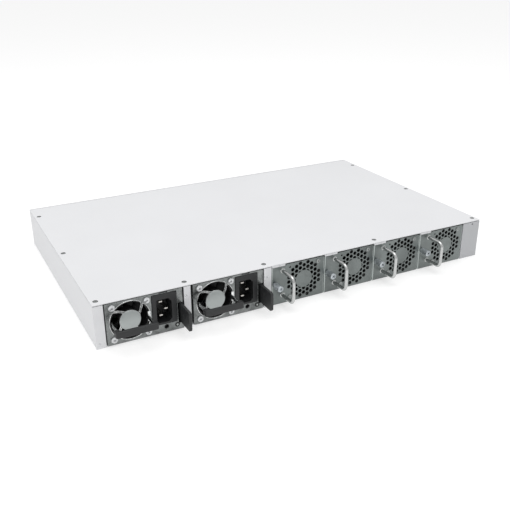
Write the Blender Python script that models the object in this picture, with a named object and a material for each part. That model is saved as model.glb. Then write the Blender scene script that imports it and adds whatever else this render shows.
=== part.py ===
"""A one-unit rackmount network switch with two plug-in power supplies and four plug-in fan modules.

Frame: +Z is up, the port side faces -Y, the power and fan side faces +Y. The origin is the centre
of the case's underside. Sizes below are in millimetres; MM turns them into Blender's metres.
"""
import math

import bmesh
import bpy
from mathutils import Matrix, Vector

MM = 0.001

# The case
WIDTH = 440.0
HEIGHT = 43.6
DEPTH = 270.0
SHEET = 1.2
COVER_SHEET = 1.0
GAP = 0.3
REAR = DEPTH / 2
FRONT = -DEPTH / 2
SIDE = WIDTH / 2
COVER_UNDERSIDE = HEIGHT - COVER_SHEET
SIDE_FLANGE = 8.5
FRONT_LIP = 3.0
BAY_FLOOR = SHEET + GAP
FACE_BOTTOM = 0.5
FACE_TOP = 42.0
FACE_SHEET = 1.0

# The rear, from the +X side to the -X side
CORNER_FLANGE_X = 210.7
PSU_WIDTH = 72.4
PSU_HEIGHT = 40.0
PSU_LENGTH = 181.0
PSU_CENTRES_X = (173.5, 90.8)
PSU_WALL = 1.0
POSTS_X = ((129.2, 135.8), (45.1, 53.2))
POST_SHEET = 1.6
FAN_BAY_X = 44.8
FAN_PITCH = 60.25
FAN_COUNT = 4
FAN_PLATE_WIDTH = 59.95
BLANK_PANEL_X = -196.5

# A power supply's face, measured from the supply's centre line
PSU_FAN_X = 14.0
PSU_FAN_Z = 21.7
PSU_FAN_OPENING = 19.0
PSU_FAN_HUB = 9.6
SPOKE_START_ANGLES = (27.5, 118.0, 208.0, 298.0)
SPOKE_SWEEP = 25.0
SPOKE_WIDTH = 2.0
INLET_X = (-30.2, -6.6)
INLET_Z = (9.5, 40.3)
INLET_PROUD = 0.6
INLET_DEPTH = 18.0
SOCKET_X = (-25.2, -10.8)
SOCKET_Z = (11.4, 34.8)
SOCKET_DEPTH = 15.0
SOCKET_CHAMFER = 3.0
PIN_SIZE = (4.0, 2.0)
PINS = ((-16.3, 30.5, 10.5), (-16.3, 16.7, 10.5), (-21.2, 23.0, 11.0))
VENT_HOLE = (-19.5, 6.3, 2.2)
LAMP_HOLE = (-30.4, 6.0, 2.6)

# A power supply's handle and latch, also from its centre line
HANDLE_REACH = 23.0
HANDLE_X = (-5.0, 34.0)
HANDLE_ARM_INSET = 2.4
HANDLE_Z = (18.8, 25.1)
STRAP = 1.2
GRIP_THICKNESS = 3.4
GRIP_LEG = 9.0
GRIP_LEG_WIDTH = 4.8
LATCH_X = (-35.8, -33.0)
LATCH_Z = (7.6, 26.8)
LATCH_REACH = 22.3
LATCH_PIVOT_Y = 104.0
LATCH_SLOT_X = -31.4

# A fan module, measured from its +X edge
FAN_AXIS_INSET = 36.3
FAN_AXIS_Z = 21.9
GRILLE_RADIUS = 18.1
GRILLE_HUB = 9.3
HEX_ACROSS = 3.75
HEX_COLUMN_PITCH = 4.3
HEX_ROW_PITCH = 5.0
SCREW_INSET = 3.4
SCREW_Z = 22.8
SCREW_RADIUS = 3.3
SCREW_REACH = 12.0
SHANK_RADIUS = 1.5
WIRE_INSET = 12.1
WIRE_Z = (9.4, 35.8)
WIRE_RADIUS = 1.8
WIRE_BEND = 5.0
FAN_FLANGE_DEPTH = 34.0

# The cooling fans
FAN_DEPTH = 28.0
MODULE_FAN = {"side": 39.4, "duct": 18.2, "blade": 17.1}
SUPPLY_FAN = {"side": 37.4, "duct": 17.4, "blade": 16.1}
ROTOR_HUB = 9.0
BLADE_COUNT = 7
BLADE_CHORD = 11.0
BLADE_PITCH = 40.0
BLADE_THICKNESS = 0.9

# The boards and what stands on them
BOARD = 1.6
MAIN_BOARD_Z = 6.0
BOARD_TOP = MAIN_BOARD_Z + BOARD
BACKPLANE_Y = -58.0
FAN_BOARD_Y = 86.0
CHIP_CENTRE = (-20.0, -22.0)
CHIP_SIDE = 45.0
HEATSINK_SIDE = 92.0
CPU_CENTRE = (-150.0, -18.0)

# The ports
PORT_PROUD = 0.8
CAGE_BOTTOM = BOARD_TOP + 0.4
CAGE_HEIGHT = 26.0
CAGE_WALL = 0.8
ROWS_Z = ((9.2, 18.8), (23.2, 32.8))
SFP_WIDTH = 13.8
SFP_DEPTH = 46.0
SFP_COLUMNS = 4
SFP_CAGES_X = (-136.0, -68.0)
QSFP_WIDTH = 18.8
QSFP_DEPTH = 52.0
QSFP_CAGE_X = 0.0
JACK_X = (-208.0, -192.0)
JACK_HEIGHT = 13.3
JACK_DEPTH = 21.0
JACK_HOLE = (12.0, 8.6, 13.0)
USB_X = (-185.0, -171.0)
USB_HEIGHT = 6.8
LAMP_X = (-184.0, -172.0)
LAMP_Z = 31.0
LAMP_COUNT = 4
RESET_PLACE = (-178.0, 22.0)
VENT_COLUMNS = 16
VENT_START_X = 44.0
VENT_PITCH = 10.5
VENT_SLOT = (6.0, 12.0)
VENT_ROWS_Z = (14.0, 30.0)

PAINT = ("white_paint", (0.82, 0.82, 0.83), 0.45, 0.0)
GALVANISED = ("galvanised_steel", (0.46, 0.49, 0.48), 0.42, 0.9)
SUPPLY_STEEL = ("supply_steel", (0.50, 0.51, 0.51), 0.4, 0.9)
PORT_STEEL = ("port_steel", (0.62, 0.62, 0.60), 0.35, 0.95)
BRIGHT_WIRE = ("bright_wire", (0.78, 0.78, 0.78), 0.2, 1.0)
NICKEL = ("nickel", (0.66, 0.69, 0.74), 0.3, 1.0)
BLACK_PLASTIC = ("black_plastic", (0.035, 0.036, 0.038), 0.5, 0.0)
FAN_PLASTIC = ("fan_plastic", (0.02, 0.02, 0.022), 0.55, 0.0)
BOARD_GREEN = ("board_green", (0.02, 0.13, 0.06), 0.5, 0.0)
CHIP_METAL = ("chip_lid", (0.55, 0.56, 0.57), 0.35, 0.9)
SINK_METAL = ("heatsink_aluminium", (0.70, 0.71, 0.72), 0.4, 0.9)
CLEAR_PLASTIC = ("light_pipe", (0.75, 0.8, 0.78), 0.2, 0.0)


# Scene and object helpers

def clear_scene():
    """Remove every object of the open scene."""
    for obj in list(bpy.data.objects):
        bpy.data.objects.remove(obj, do_unlink=True)


def new_collection(name):
    """A collection linked to the scene."""
    group = bpy.data.collections.new(name)
    bpy.context.scene.collection.children.link(group)
    return group


def material(spec):
    """The Principled material of a (name, colour, roughness, metallic) specification."""
    name, colour, roughness, metallic = spec
    found = bpy.data.materials.get(name)
    if found:
        return found
    made = bpy.data.materials.new(name)
    made.use_nodes = True
    shader = made.node_tree.nodes["Principled BSDF"]
    shader.inputs["Base Color"].default_value = (*colour, 1.0)
    shader.inputs["Roughness"].default_value = roughness
    shader.inputs["Metallic"].default_value = metallic
    return made


def pivot(name, place):
    """An empty at a place in the case's frame; the pieces of one moving unit hang from it."""
    empty = bpy.data.objects.new(name, None)
    empty.location = Vector(place) * MM
    PARTS.objects.link(empty)
    return empty


def place_object(name, bm, group, origin, parent):
    """Turn a bmesh drawn in the case's frame into an object whose origin is at a chosen place."""
    bmesh.ops.translate(bm, vec=-Vector(origin), verts=bm.verts)
    bmesh.ops.scale(bm, vec=(MM, MM, MM), verts=bm.verts)
    bmesh.ops.recalc_face_normals(bm, faces=bm.faces)
    mesh = bpy.data.meshes.new(name)
    bm.to_mesh(mesh)
    bm.free()
    obj = bpy.data.objects.new(name, mesh)
    group.objects.link(obj)
    obj.location = Vector(origin) * MM
    if parent:
        obj.parent = parent
        obj.location = Vector(origin) * MM - parent.location
    return obj


def part(name, bm, look, origin=(0.0, 0.0, 0.0), parent=None, smooth=False):
    """A sub-part of the switch."""
    obj = place_object(name, bm, PARTS, origin, parent)
    obj.data.materials.append(material(look))
    if smooth:
        obj.data.shade_smooth()
        obj.data.set_sharp_from_angle(angle=math.radians(35))
    return obj


def hidden_shape(name, bm):
    """A shape that only takes part in Booleans."""
    helper = place_object(name, bm, CUTTERS, (0.0, 0.0, 0.0), None)
    helper.hide_render = True
    helper.display_type = "WIRE"
    return helper


def boolean(obj, helper, operation):
    """Combine an object with a hidden shape."""
    modifier = obj.modifiers.new(operation.title(), "BOOLEAN")
    modifier.operation = operation
    modifier.object = helper


def cut(obj, bm):
    """Cut a shape out of an object."""
    boolean(obj, hidden_shape(f"{obj.name}_cut", bm), "DIFFERENCE")


def weld(obj, bm):
    """Join a shape to an object."""
    boolean(obj, hidden_shape(f"{obj.name}_weld", bm), "UNION")


# Shapes, drawn in millimetres in the case's frame

def box(x, y, z):
    """A block between two limits on each axis."""
    bm = bmesh.new()
    spans = [Vector(sorted(limits)) for limits in (x, y, z)]
    centre = Matrix.Translation([(span[0] + span[1]) / 2 for span in spans])
    size = Matrix.Diagonal([span[1] - span[0] for span in spans] + [1.0])
    bmesh.ops.create_cube(bm, size=1.0, matrix=centre @ size)
    return bm


def rod(x, z, radius, y, segments=16, turn=0.0):
    """A round or many-sided bar along Y between two Y limits."""
    bm = bmesh.new()
    low, high = sorted(y)
    matrix = Matrix.Translation((x, (low + high) / 2, z))
    matrix @= Matrix.Rotation(math.radians(90), 4, "X") @ Matrix.Rotation(turn, 4, "Z")
    bmesh.ops.create_cone(bm, cap_ends=True, segments=segments, radius1=radius, radius2=radius,
                          depth=high - low, matrix=matrix)
    return bm


def upright(x, y, radius, z, segments=16):
    """A round bar along Z between two Z limits."""
    bm = bmesh.new()
    low, high = sorted(z)
    matrix = Matrix.Translation((x, y, (low + high) / 2))
    bmesh.ops.create_cone(bm, cap_ends=True, segments=segments, radius1=radius, radius2=radius,
                          depth=high - low, matrix=matrix)
    return bm


def together(shapes):
    """Several separate shapes as one bmesh."""
    whole = bmesh.new()
    for shape in shapes:
        mesh = bpy.data.meshes.new("shape")
        shape.to_mesh(mesh)
        shape.free()
        whole.from_mesh(mesh)
        bpy.data.meshes.remove(mesh)
    return whole


PLANES = {
    "XY": Matrix.Identity(4),
    "XZ": Matrix.Rotation(math.radians(90), 4, "X"),
    "YZ": Matrix.Rotation(math.radians(90), 4, "Z") @ Matrix.Rotation(math.radians(90), 4, "X"),
}
ACROSS = {"XY": Vector((0, 0, 1)), "XZ": Vector((0, 1, 0)), "YZ": Vector((1, 0, 0))}


def outline(points, plane, span):
    """A flat outline in one plane, extruded between two limits across it."""
    curve = bpy.data.curves.new("outline", "CURVE")
    curve.dimensions = "2D"
    curve.fill_mode = "BOTH"
    curve.extrude = abs(span[1] - span[0]) / 2
    spline = curve.splines.new("POLY")
    spline.points.add(len(points) - 1)
    for target, (u, v) in zip(spline.points, points):
        target.co = (u, v, 0.0, 1.0)
    spline.use_cyclic_u = True
    return curve_solid(curve, PLANES[plane], ACROSS[plane] * (span[0] + span[1]) / 2)


def curve_solid(curve, turn, shift):
    """The closed mesh of a curve, turned and moved into the case's frame."""
    guide = bpy.data.objects.new("guide", curve)
    bpy.context.scene.collection.objects.link(guide)
    evaluated = guide.evaluated_get(bpy.context.evaluated_depsgraph_get())
    mesh = bpy.data.meshes.new_from_object(evaluated)
    bm = bmesh.new()
    bm.from_mesh(mesh)
    bmesh.ops.remove_doubles(bm, verts=bm.verts, dist=0.001)
    bmesh.ops.transform(bm, matrix=Matrix.Translation(shift) @ turn, verts=bm.verts)
    bpy.data.objects.remove(guide)
    bpy.data.curves.remove(curve)
    bpy.data.meshes.remove(mesh)
    return bm


def wire(points, radius):
    """A round wire through a list of points."""
    curve = bpy.data.curves.new("wire", "CURVE")
    curve.dimensions = "3D"
    curve.bevel_depth = radius
    curve.bevel_resolution = 2
    curve.use_fill_caps = True
    spline = curve.splines.new("POLY")
    spline.points.add(len(points) - 1)
    for target, point in zip(spline.points, points):
        target.co = (*point, 1.0)
    return curve_solid(curve, Matrix.Identity(4), Vector((0, 0, 0)))


def arc(centre, radius, start, end, steps):
    """Points on an arc in a plane, angles in degrees."""
    angles = [math.radians(start + (end - start) * step / steps) for step in range(steps + 1)]
    return [(centre[0] + radius * math.cos(a), centre[1] + radius * math.sin(a)) for a in angles]


def channel(x, z, sheet, open_side):
    """The outline of a C-section on an XZ plane; its web is opposite the open side."""
    low, high = sorted(x)
    web, lip = (low, high) if open_side > 0 else (high, low)
    inner = web + sheet * open_side
    return [(web, z[0]), (lip, z[0]), (lip, z[0] + sheet), (inner, z[0] + sheet),
            (inner, z[1] - sheet), (lip, z[1] - sheet), (lip, z[1]), (web, z[1])]


# The case

def fan_module_edge(index):
    """The +X edge of a fan module."""
    return FAN_BAY_X - index * FAN_PITCH


def build_chassis_tray():
    """The folded tray: floor, sides, inward top flanges, rear posts and blank panel."""
    side, wall, top = SIDE, SIDE - SHEET, COVER_UNDERSIDE - GAP
    flange = SIDE - SIDE_FLANGE
    half = [(side, 0.0), (side, top), (flange, top), (flange, top - SHEET), (wall, top - SHEET),
            (wall, SHEET)]
    profile = half + [(-x, z) for x, z in reversed(half)]
    rear_edge = REAR - FACE_SHEET - GAP
    tray = part("chassis_tray", outline(profile, "XZ", (FRONT + SHEET + GAP, rear_edge)), PAINT)
    plates = [(CORNER_FLANGE_X, side), (-side, BLANK_PANEL_X), *POSTS_X]
    weld(tray, together(box(x, (REAR - POST_SHEET, REAR), (0.0, FACE_TOP)) for x in plates))
    edges = [fan_module_edge(index) for index in range(FAN_COUNT)]
    tabs = together(box((edge - 7.0, edge - 0.6), (REAR - 5.6, REAR - 4.2), (SHEET / 2, 30.0))
                    for edge in edges)
    weld(tray, tabs)
    cut(tray, together(rod(edge - SCREW_INSET, SCREW_Z, SHANK_RADIUS + 0.4, (REAR - 7, REAR - 3), 12)
                       for edge in edges))


def build_top_cover():
    """The flat cover sheet that lies on the tray's flanges."""
    part("top_cover", box((-SIDE, SIDE), (FRONT + FRONT_LIP + GAP, REAR), (COVER_UNDERSIDE, HEIGHT)),
         PAINT)


def build_front_panel():
    """The port panel, folded back over the cover's front edge."""
    profile = [(FRONT, 0.0), (FRONT + SHEET, 0.0), (FRONT + SHEET, COVER_UNDERSIDE),
               (FRONT + FRONT_LIP, COVER_UNDERSIDE), (FRONT + FRONT_LIP, HEIGHT), (FRONT, HEIGHT)]
    panel = part("front_panel", outline(profile, "YZ", (-SIDE, SIDE)), PAINT)
    through = (FRONT - 5, FRONT + SHEET + 0.8)
    room = GAP
    windows = [(cage_span(x, SFP_COLUMNS, SFP_WIDTH), cage_z()) for x in SFP_CAGES_X]
    windows += [(cage_span(QSFP_CAGE_X, 1, QSFP_WIDTH), cage_z())]
    windows += [(JACK_X, jack_z(row)) for row in range(2)]
    windows += [(USB_X, (CAGE_BOTTOM, CAGE_BOTTOM + USB_HEIGHT))]
    holes = [box((x[0] - room, x[1] + room), through, (z[0] - room, z[1] + room))
             for x, z in windows if z != jack_z(1)]
    holes += [box((JACK_X[0] - room, JACK_X[1] + room), through, (jack_z(1)[0] - 2, jack_z(1)[1] + room))]
    holes += [rod(x, LAMP_Z, 1.5, through, 10) for x in lamp_places()]
    holes += [rod(*RESET_PLACE, 1.6, through, 12)]
    for hole in holes:
        cut(panel, hole)
    cut(panel, together(vent_slots(through)))


def vent_slots(through):
    """The air intake: two rows of upright slots beside the ports."""
    columns = [VENT_START_X + index * VENT_PITCH for index in range(VENT_COLUMNS)]
    half_wide, half_high = VENT_SLOT[0] / 2, VENT_SLOT[1] / 2
    return [box((x - half_wide, x + half_wide), through, (z - half_high, z + half_high))
            for x in columns for z in VENT_ROWS_Z]


def build_bay_walls():
    """The C-section walls between the bays, which also carry the cover's rear screws."""
    top = COVER_UNDERSIDE - GAP
    walls = {
        "psu_bay_divider": ((128.2, 136.2), BACKPLANE_Y + BOARD + 6, 1),
        "fan_bay_divider": ((45.3, 53.8), BACKPLANE_Y + BOARD + 6, 1),
        "fan_bay_end_wall": ((-206.0, -197.0), FAN_BOARD_Y + BOARD + 1, -1),
    }
    for name, (x, start, open_side) in walls.items():
        section = channel(x, (BAY_FLOOR, top), SHEET, open_side)
        part(name, outline(section, "XZ", (start, REAR - POST_SHEET - GAP)), GALVANISED)


# The plug-in power supplies

def petals(centre_x):
    """The four swept openings of the fan guard, as a cutter."""
    through = (REAR - 6, REAR + 3)
    disc = hidden_shape("guard_opening", rod(centre_x, PSU_FAN_Z, PSU_FAN_OPENING, through, 36))
    wide = (through[0] - 1, through[1] + 1)
    cut(disc, rod(centre_x, PSU_FAN_Z, PSU_FAN_HUB, wide, 28))
    cut(disc, together(spoke(centre_x, start, wide) for start in SPOKE_START_ANGLES))
    return disc


def spoke(centre_x, start, y):
    """One straight guard bar that leaves the hub at an angle and meets the rim further round."""
    inner = polar(centre_x, PSU_FAN_Z, PSU_FAN_HUB - 1.5, start)
    outer = polar(centre_x, PSU_FAN_Z, PSU_FAN_OPENING + 2, start + SPOKE_SWEEP)
    along = (outer - inner).normalized()
    across = Vector((-along.y, along.x)) * SPOKE_WIDTH / 2
    corners = [inner - across, outer - across, outer + across, inner + across]
    return outline([tuple(corner) for corner in corners], "XZ", y)


def polar(x, z, radius, angle):
    """A point at a radius and angle around a centre; angles run from -X towards +Z."""
    turn = math.radians(angle)
    return Vector((x - radius * math.cos(turn), z + radius * math.sin(turn)))


def build_psu(number, centre):
    """One power supply: case, face, inlet, board, fan, handle, grip and latch."""
    name = f"psu_{number}"
    unit = pivot(f"{name}_slide", (centre, REAR, 0.0))
    x = (centre - PSU_WIDTH / 2, centre + PSU_WIDTH / 2)
    z = (BAY_FLOOR, BAY_FLOOR + PSU_HEIGHT)
    build_psu_case(name, x, z, unit)
    build_psu_face(name, centre, x, unit)
    build_inlet(name, centre, unit)
    build_psu_board(name, centre, x, unit)
    build_psu_handle(name, centre, unit)
    build_latch(name, centre, unit)
    build_fan(name, centre + PSU_FAN_X, PSU_FAN_Z, SUPPLY_FAN, unit)


def build_psu_case(name, x, z, unit):
    """The sheet case, open behind the face, with a window for the card edge and cooling slots."""
    end = REAR - FACE_SHEET - GAP
    case = part(f"{name}_case", box(x, (end - PSU_LENGTH, end), z), SUPPLY_STEEL, parent=unit)
    wall = PSU_WALL
    cut(case, box((x[0] + wall, x[1] - wall), (end - PSU_LENGTH + wall, end + 5),
                  (z[0] + wall, z[1] - wall)))
    cut(case, box((x[0] - 2, x[0] + 2), (LATCH_PIVOT_Y - 5, end + 2), (LATCH_Z[0] - 1, LATCH_Z[1] + 1)))
    inner_end = (end - PSU_LENGTH - 2, end - PSU_LENGTH + 4)
    cut(case, box((x[0] + 13, x[1] - 13), inner_end, (z[0] + 2, z[0] + 7)))
    slots = range(7)
    cut(case, together(box((x[0] + 9 + 8.5 * i, x[0] + 13 + 8.5 * i), inner_end, (z[0] + 12, z[1] - 8))
                       for i in slots))


def build_psu_face(name, centre, x, unit):
    """The face plate with the pressed fan guard and the openings for inlet, lamp and latch."""
    y = (REAR - FACE_SHEET, REAR)
    face = part(f"{name}_face", box(x, y, (FACE_BOTTOM, FACE_TOP)), SUPPLY_STEEL, parent=unit)
    boolean(face, petals(centre + PSU_FAN_X), "DIFFERENCE")
    through = (y[0] - 3, y[1] + 3)
    cut(face, box((centre + INLET_X[0] - GAP, centre + INLET_X[1] + GAP), through,
                  (INLET_Z[0] - GAP, INLET_Z[1] + GAP)))
    cut(face, box((x[0] - 2, centre + LATCH_SLOT_X), through, (LATCH_Z[0] - 0.7, LATCH_Z[1] + 0.7)))
    for hole_x, hole_z, radius in (VENT_HOLE, LAMP_HOLE):
        cut(face, rod(centre + hole_x, hole_z, radius, through, 14))


def build_inlet(name, centre, unit):
    """The mains inlet: a moulded body with a keyed socket and three flat pins."""
    front = REAR + INLET_PROUD
    body = box((centre + INLET_X[0], centre + INLET_X[1]), (front - INLET_DEPTH, front), INLET_Z)
    inlet = part(f"{name}_inlet", body, BLACK_PLASTIC, parent=unit)
    left, right = centre + SOCKET_X[0], centre + SOCKET_X[1]
    key = SOCKET_CHAMFER
    low, high = SOCKET_Z
    mouth = [(right, low), (right, high), (left + key, high), (left, high - key),
             (left, low + key), (left + key, low)]
    floor = front - SOCKET_DEPTH
    cut(inlet, outline(mouth, "XZ", (floor, front + 3)))
    half_wide, half_high = PIN_SIZE[0] / 2, PIN_SIZE[1] / 2
    weld(inlet, together(box((centre + x - half_wide, centre + x + half_wide),
                             (floor - 1, floor + length), (z - half_high, z + half_high))
                         for x, z, length in PINS))


def build_psu_board(name, centre, x, unit):
    """The converter board with its transformer, choke, capacitors and card edge."""
    start = REAR - FACE_SHEET - GAP - PSU_LENGTH
    low = BAY_FLOOR + PSU_WALL + 1.8
    edge = (x[0] + PSU_WALL + 1, x[1] - PSU_WALL - 1)
    board = part(f"{name}_board", box(edge, (start + 2.5, LATCH_PIVOT_Y - 8), (low, low + BOARD)),
                 BOARD_GREEN, parent=unit)
    base = low + BOARD / 2
    weld(board, box((centre - 20, centre + 20), (start - 5, start + 6), (low + 0.1, low + BOARD - 0.1)))
    weld(board, box((centre - 4, centre + 30), (start + 30, start + 62), (base, base + 27)))
    weld(board, box((centre - 31, centre - 9), (start + 26, start + 70), (base, base + 22)))
    weld(board, upright(centre + 12, start + 92, 11.5, (base, base + 29), 20))
    weld(board, upright(centre - 15, start + 92, 11.5, (base, base + 29), 20))
    weld(board, box((centre - 27, centre + 27), (start + 114, start + 117), (base, base + 28)))


def build_psu_handle(name, centre, unit):
    """The fixed pull handle: a bent steel strap with a moulded grip over its cross bar."""
    x = (centre + HANDLE_X[0], centre + HANDLE_X[1])
    z_mid = sum(HANDLE_Z) / 2
    outer = REAR + HANDLE_REACH
    arms = (x[0] + HANDLE_ARM_INSET, x[1] - HANDLE_ARM_INSET)
    cross = outer - (GRIP_THICKNESS - STRAP) / 2
    root = REAR + GAP
    strap = [(arms[0], root), (arms[0] + STRAP, root), (arms[0] + STRAP, cross - STRAP),
             (arms[1] - STRAP, cross - STRAP), (arms[1] - STRAP, root), (arms[1], root),
             (arms[1], cross), (arms[0], cross)]
    part(f"{name}_handle", outline(strap, "XY", (z_mid - 2.2, z_mid + 2.2)), BRIGHT_WIRE, parent=unit)
    leg, thick, wide = outer - GRIP_LEG, GRIP_THICKNESS, GRIP_LEG_WIDTH
    bevel = 1.2
    shape = [(x[0], leg), (x[0] + wide, leg), (x[0] + wide, outer - thick),
             (x[1] - wide, outer - thick), (x[1] - wide, leg), (x[1], leg),
             (x[1], outer - bevel), (x[1] - bevel, outer), (x[0] + bevel, outer), (x[0], outer - bevel)]
    grip = part(f"{name}_grip", outline(shape, "XY", HANDLE_Z), BLACK_PLASTIC, parent=unit)
    room = GAP
    slot = [(arms[0] - room, leg - 2), (arms[0] + STRAP + room, leg - 2),
            (arms[0] + STRAP + room, cross - STRAP - room), (arms[1] - STRAP - room, cross - STRAP - room),
            (arms[1] - STRAP - room, leg - 2), (arms[1] + room, leg - 2),
            (arms[1] + room, cross + room), (arms[0] - room, cross + room)]
    cut(grip, outline(slot, "XY", (z_mid - 2.2 - room, z_mid + 2.2 + room)))


def build_latch(name, centre, unit):
    """The release latch: a spring arm with a thumb tab that stands out of the face."""
    x = (centre + LATCH_X[0], centre + LATCH_X[1])
    tip = REAR + LATCH_REACH
    corner = 3.0
    low, high = LATCH_Z
    shape = [(LATCH_PIVOT_Y, low), (tip - corner, low)]
    shape += arc((tip - corner, low + corner), corner, -90, 0, 3)[1:]
    shape += arc((tip - corner, high - corner), corner, 0, 90, 3)
    shape += [(LATCH_PIVOT_Y, high)]
    origin = (sum(x) / 2, LATCH_PIVOT_Y, sum(LATCH_Z) / 2)
    latch = part(f"{name}_latch", outline(shape, "YZ", x), BLACK_PLASTIC, origin, unit)
    weld(latch, upright(origin[0], LATCH_PIVOT_Y, 1.7, (low + 0.2, high - 0.2), 12))


# The cooling fans

def build_fan(name, x, z, size, unit):
    """A square fan: a frame with a round duct and motor bracket, and the rotor that turns in it."""
    outer = REAR - FACE_SHEET - 0.4
    inner = outer - FAN_DEPTH
    half = size["side"] / 2
    frame = part(f"{name}_fan_frame", box((x - half, x + half), (inner, outer), (z - half, z + half)),
                 FAN_PLASTIC, parent=unit)
    cut(frame, rod(x, z, size["duct"], (inner - 2, outer + 2), 22))
    for angle in (45, 135):
        tilt = math.radians(angle)
        along = Vector((math.cos(tilt), math.sin(tilt))) * (size["duct"] + 1.5)
        across = Vector((-math.sin(tilt), math.cos(tilt)))
        centre = Vector((x, z))
        corners = [centre - along - across, centre + along - across,
                   centre + along + across, centre - along + across]
        weld(frame, outline([tuple(corner) for corner in corners], "XZ", (inner + 0.4, inner + 2.4)))
    weld(frame, rod(x, z, ROTOR_HUB + 0.3, (inner + 0.2, inner + 2.6), 16))
    cut(frame, rod(x, z, 2.0, (inner - 2, inner + 5), 10))
    build_rotor(name, x, z, size, inner, unit)


def build_rotor(name, x, z, size, inner, unit):
    """The fan rotor: hub cup, stub shaft and pitched blades."""
    hub = (inner + 2.9, inner + FAN_DEPTH - 3.0)
    rotor = part(f"{name}_rotor", rod(x, z, ROTOR_HUB, hub, 16), FAN_PLASTIC, (x, sum(hub) / 2, z), unit,
                 smooth=True)
    weld(rotor, rod(x, z, 1.4, (inner + 0.6, hub[0] + 1), 8))
    reach = size["blade"] - ROTOR_HUB + 1.5
    blades = []
    for index in range(BLADE_COUNT):
        blade = bmesh.new()
        size_matrix = Matrix.Diagonal((reach, BLADE_THICKNESS, BLADE_CHORD, 1.0))
        pitched = Matrix.Rotation(math.radians(90 - BLADE_PITCH), 4, "X")
        out = Matrix.Translation((ROTOR_HUB - 1.5 + reach / 2, 0, 0))
        around = Matrix.Rotation(math.tau * index / BLADE_COUNT, 4, "Y")
        place = Matrix.Translation((x, sum(hub) / 2, z))
        bmesh.ops.create_cube(blade, size=1.0, matrix=place @ around @ out @ pitched @ size_matrix)
        blades.append(blade)
    weld(rotor, together(blades))


# The plug-in fan modules

def grille_holes(x, z, y):
    """The honeycomb of a fan plate as a cutter: hexagons in a ring around a blank centre."""
    radius = HEX_ACROSS / math.sqrt(3)
    holes = []
    for column in range(-4, 5):
        for row in range(-4, 5):
            u = column * HEX_COLUMN_PITCH
            v = (row + 0.5 * (column % 2)) * HEX_ROW_PITCH
            if GRILLE_HUB - 0.8 < math.hypot(u, v) <= GRILLE_RADIUS:
                holes.append(rod(x + u, z + v, radius, y, 6, math.radians(30)))
    cutter = hidden_shape("grille", together(holes))
    cut(cutter, rod(x, z, GRILLE_HUB, (y[0] - 1, y[1] + 1), 20))
    return cutter


def build_fan_module(number, edge):
    """One fan module: plate with grille, bent-wire handle, captive thumbscrew and fan."""
    name = f"fan_{number}"
    unit = pivot(f"{name}_slide", (edge - FAN_PLATE_WIDTH / 2, REAR, 0.0))
    axis_x = edge - FAN_AXIS_INSET
    back = REAR - FACE_SHEET
    sheet = box((edge - FAN_PLATE_WIDTH, edge), (back, REAR), (FACE_BOTTOM, FACE_TOP))
    plate = part(f"{name}_plate", sheet, GALVANISED, parent=unit)
    half = MODULE_FAN["side"] / 2 + GAP
    flange = (REAR - FAN_FLANGE_DEPTH, back + FACE_SHEET / 2)
    for side in (-1, 1):
        near, far = axis_x + side * half, axis_x + side * (half + FACE_SHEET)
        weld(plate, box((near, far), flange, (BAY_FLOOR + 2, FACE_TOP - 2)))
    through = (back - 3, REAR + 3)
    boolean(plate, grille_holes(axis_x, FAN_AXIS_Z, through), "DIFFERENCE")
    openings = [rod(edge - SCREW_INSET, SCREW_Z, SHANK_RADIUS + 0.4, through, 12)]
    openings += [rod(edge - WIRE_INSET, z, WIRE_RADIUS + GAP, through, 12) for z in WIRE_Z]
    cut(plate, together(openings))
    build_wire_handle(name, edge - WIRE_INSET, unit)
    build_thumbscrew(name, edge - SCREW_INSET, unit)
    build_fan(name, axis_x, FAN_AXIS_Z, MODULE_FAN, unit)


def build_wire_handle(name, x, unit):
    """The pull handle: round wire bent into a U in a plane across the module."""
    low, high = WIRE_Z
    root = REAR - FACE_SHEET - 1.5
    outer = REAR + HANDLE_REACH - WIRE_RADIUS
    bend = WIRE_BEND
    path = [(root, low)]
    path += arc((outer - bend, low + bend), bend, -90, 0, 4)
    path += arc((outer - bend, high - bend), bend, 0, 90, 4)
    path += [(root, high)]
    part(f"{name}_handle", wire([(x, y, z) for y, z in path], WIRE_RADIUS), BRIGHT_WIRE, parent=unit,
         smooth=True)


def build_thumbscrew(name, x, unit):
    """The captive thumbscrew: a round knob and a shank that reaches through the plate."""
    knob = (REAR + GAP, REAR + SCREW_REACH)
    origin = (x, sum(knob) / 2, SCREW_Z)
    screw = part(f"{name}_thumbscrew", rod(x, SCREW_Z, SCREW_RADIUS, knob, 18), NICKEL, origin, unit,
                 smooth=True)
    weld(screw, rod(x, SCREW_Z, SHANK_RADIUS, (REAR - 7.5, knob[0] + 1), 10))
    cut(screw, box((x - 2.2, x + 2.2), (knob[1] - 1.2, knob[1] + 1), (SCREW_Z - 0.5, SCREW_Z + 0.5)))


# Ports

def cage_span(centre, columns, width):
    """The X limits of a cage around its columns of ports."""
    total = columns * width + (columns + 1) * CAGE_WALL
    return (centre - total / 2, centre + total / 2)


def cage_z():
    """The Z limits of a two-row cage."""
    return (CAGE_BOTTOM, CAGE_BOTTOM + CAGE_HEIGHT)


def build_cage(name, centre, columns, width, depth):
    """A folded steel cage with two rows of module ports."""
    x = cage_span(centre, columns, width)
    mouth = FRONT - PORT_PROUD
    cage = part(name, box(x, (mouth, mouth + depth + 4), cage_z()), PORT_STEEL)
    pockets = []
    for column in range(columns):
        left = x[0] + CAGE_WALL + column * (width + CAGE_WALL)
        pockets += [box((left, left + width), (mouth - 2, mouth + depth), row) for row in ROWS_Z]
    cut(cage, together(pockets))


def jack_z(row):
    """The Z limits of the lower or upper jack."""
    low = CAGE_BOTTOM + row * (JACK_HEIGHT + GAP)
    return (low, low + JACK_HEIGHT)


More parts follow.
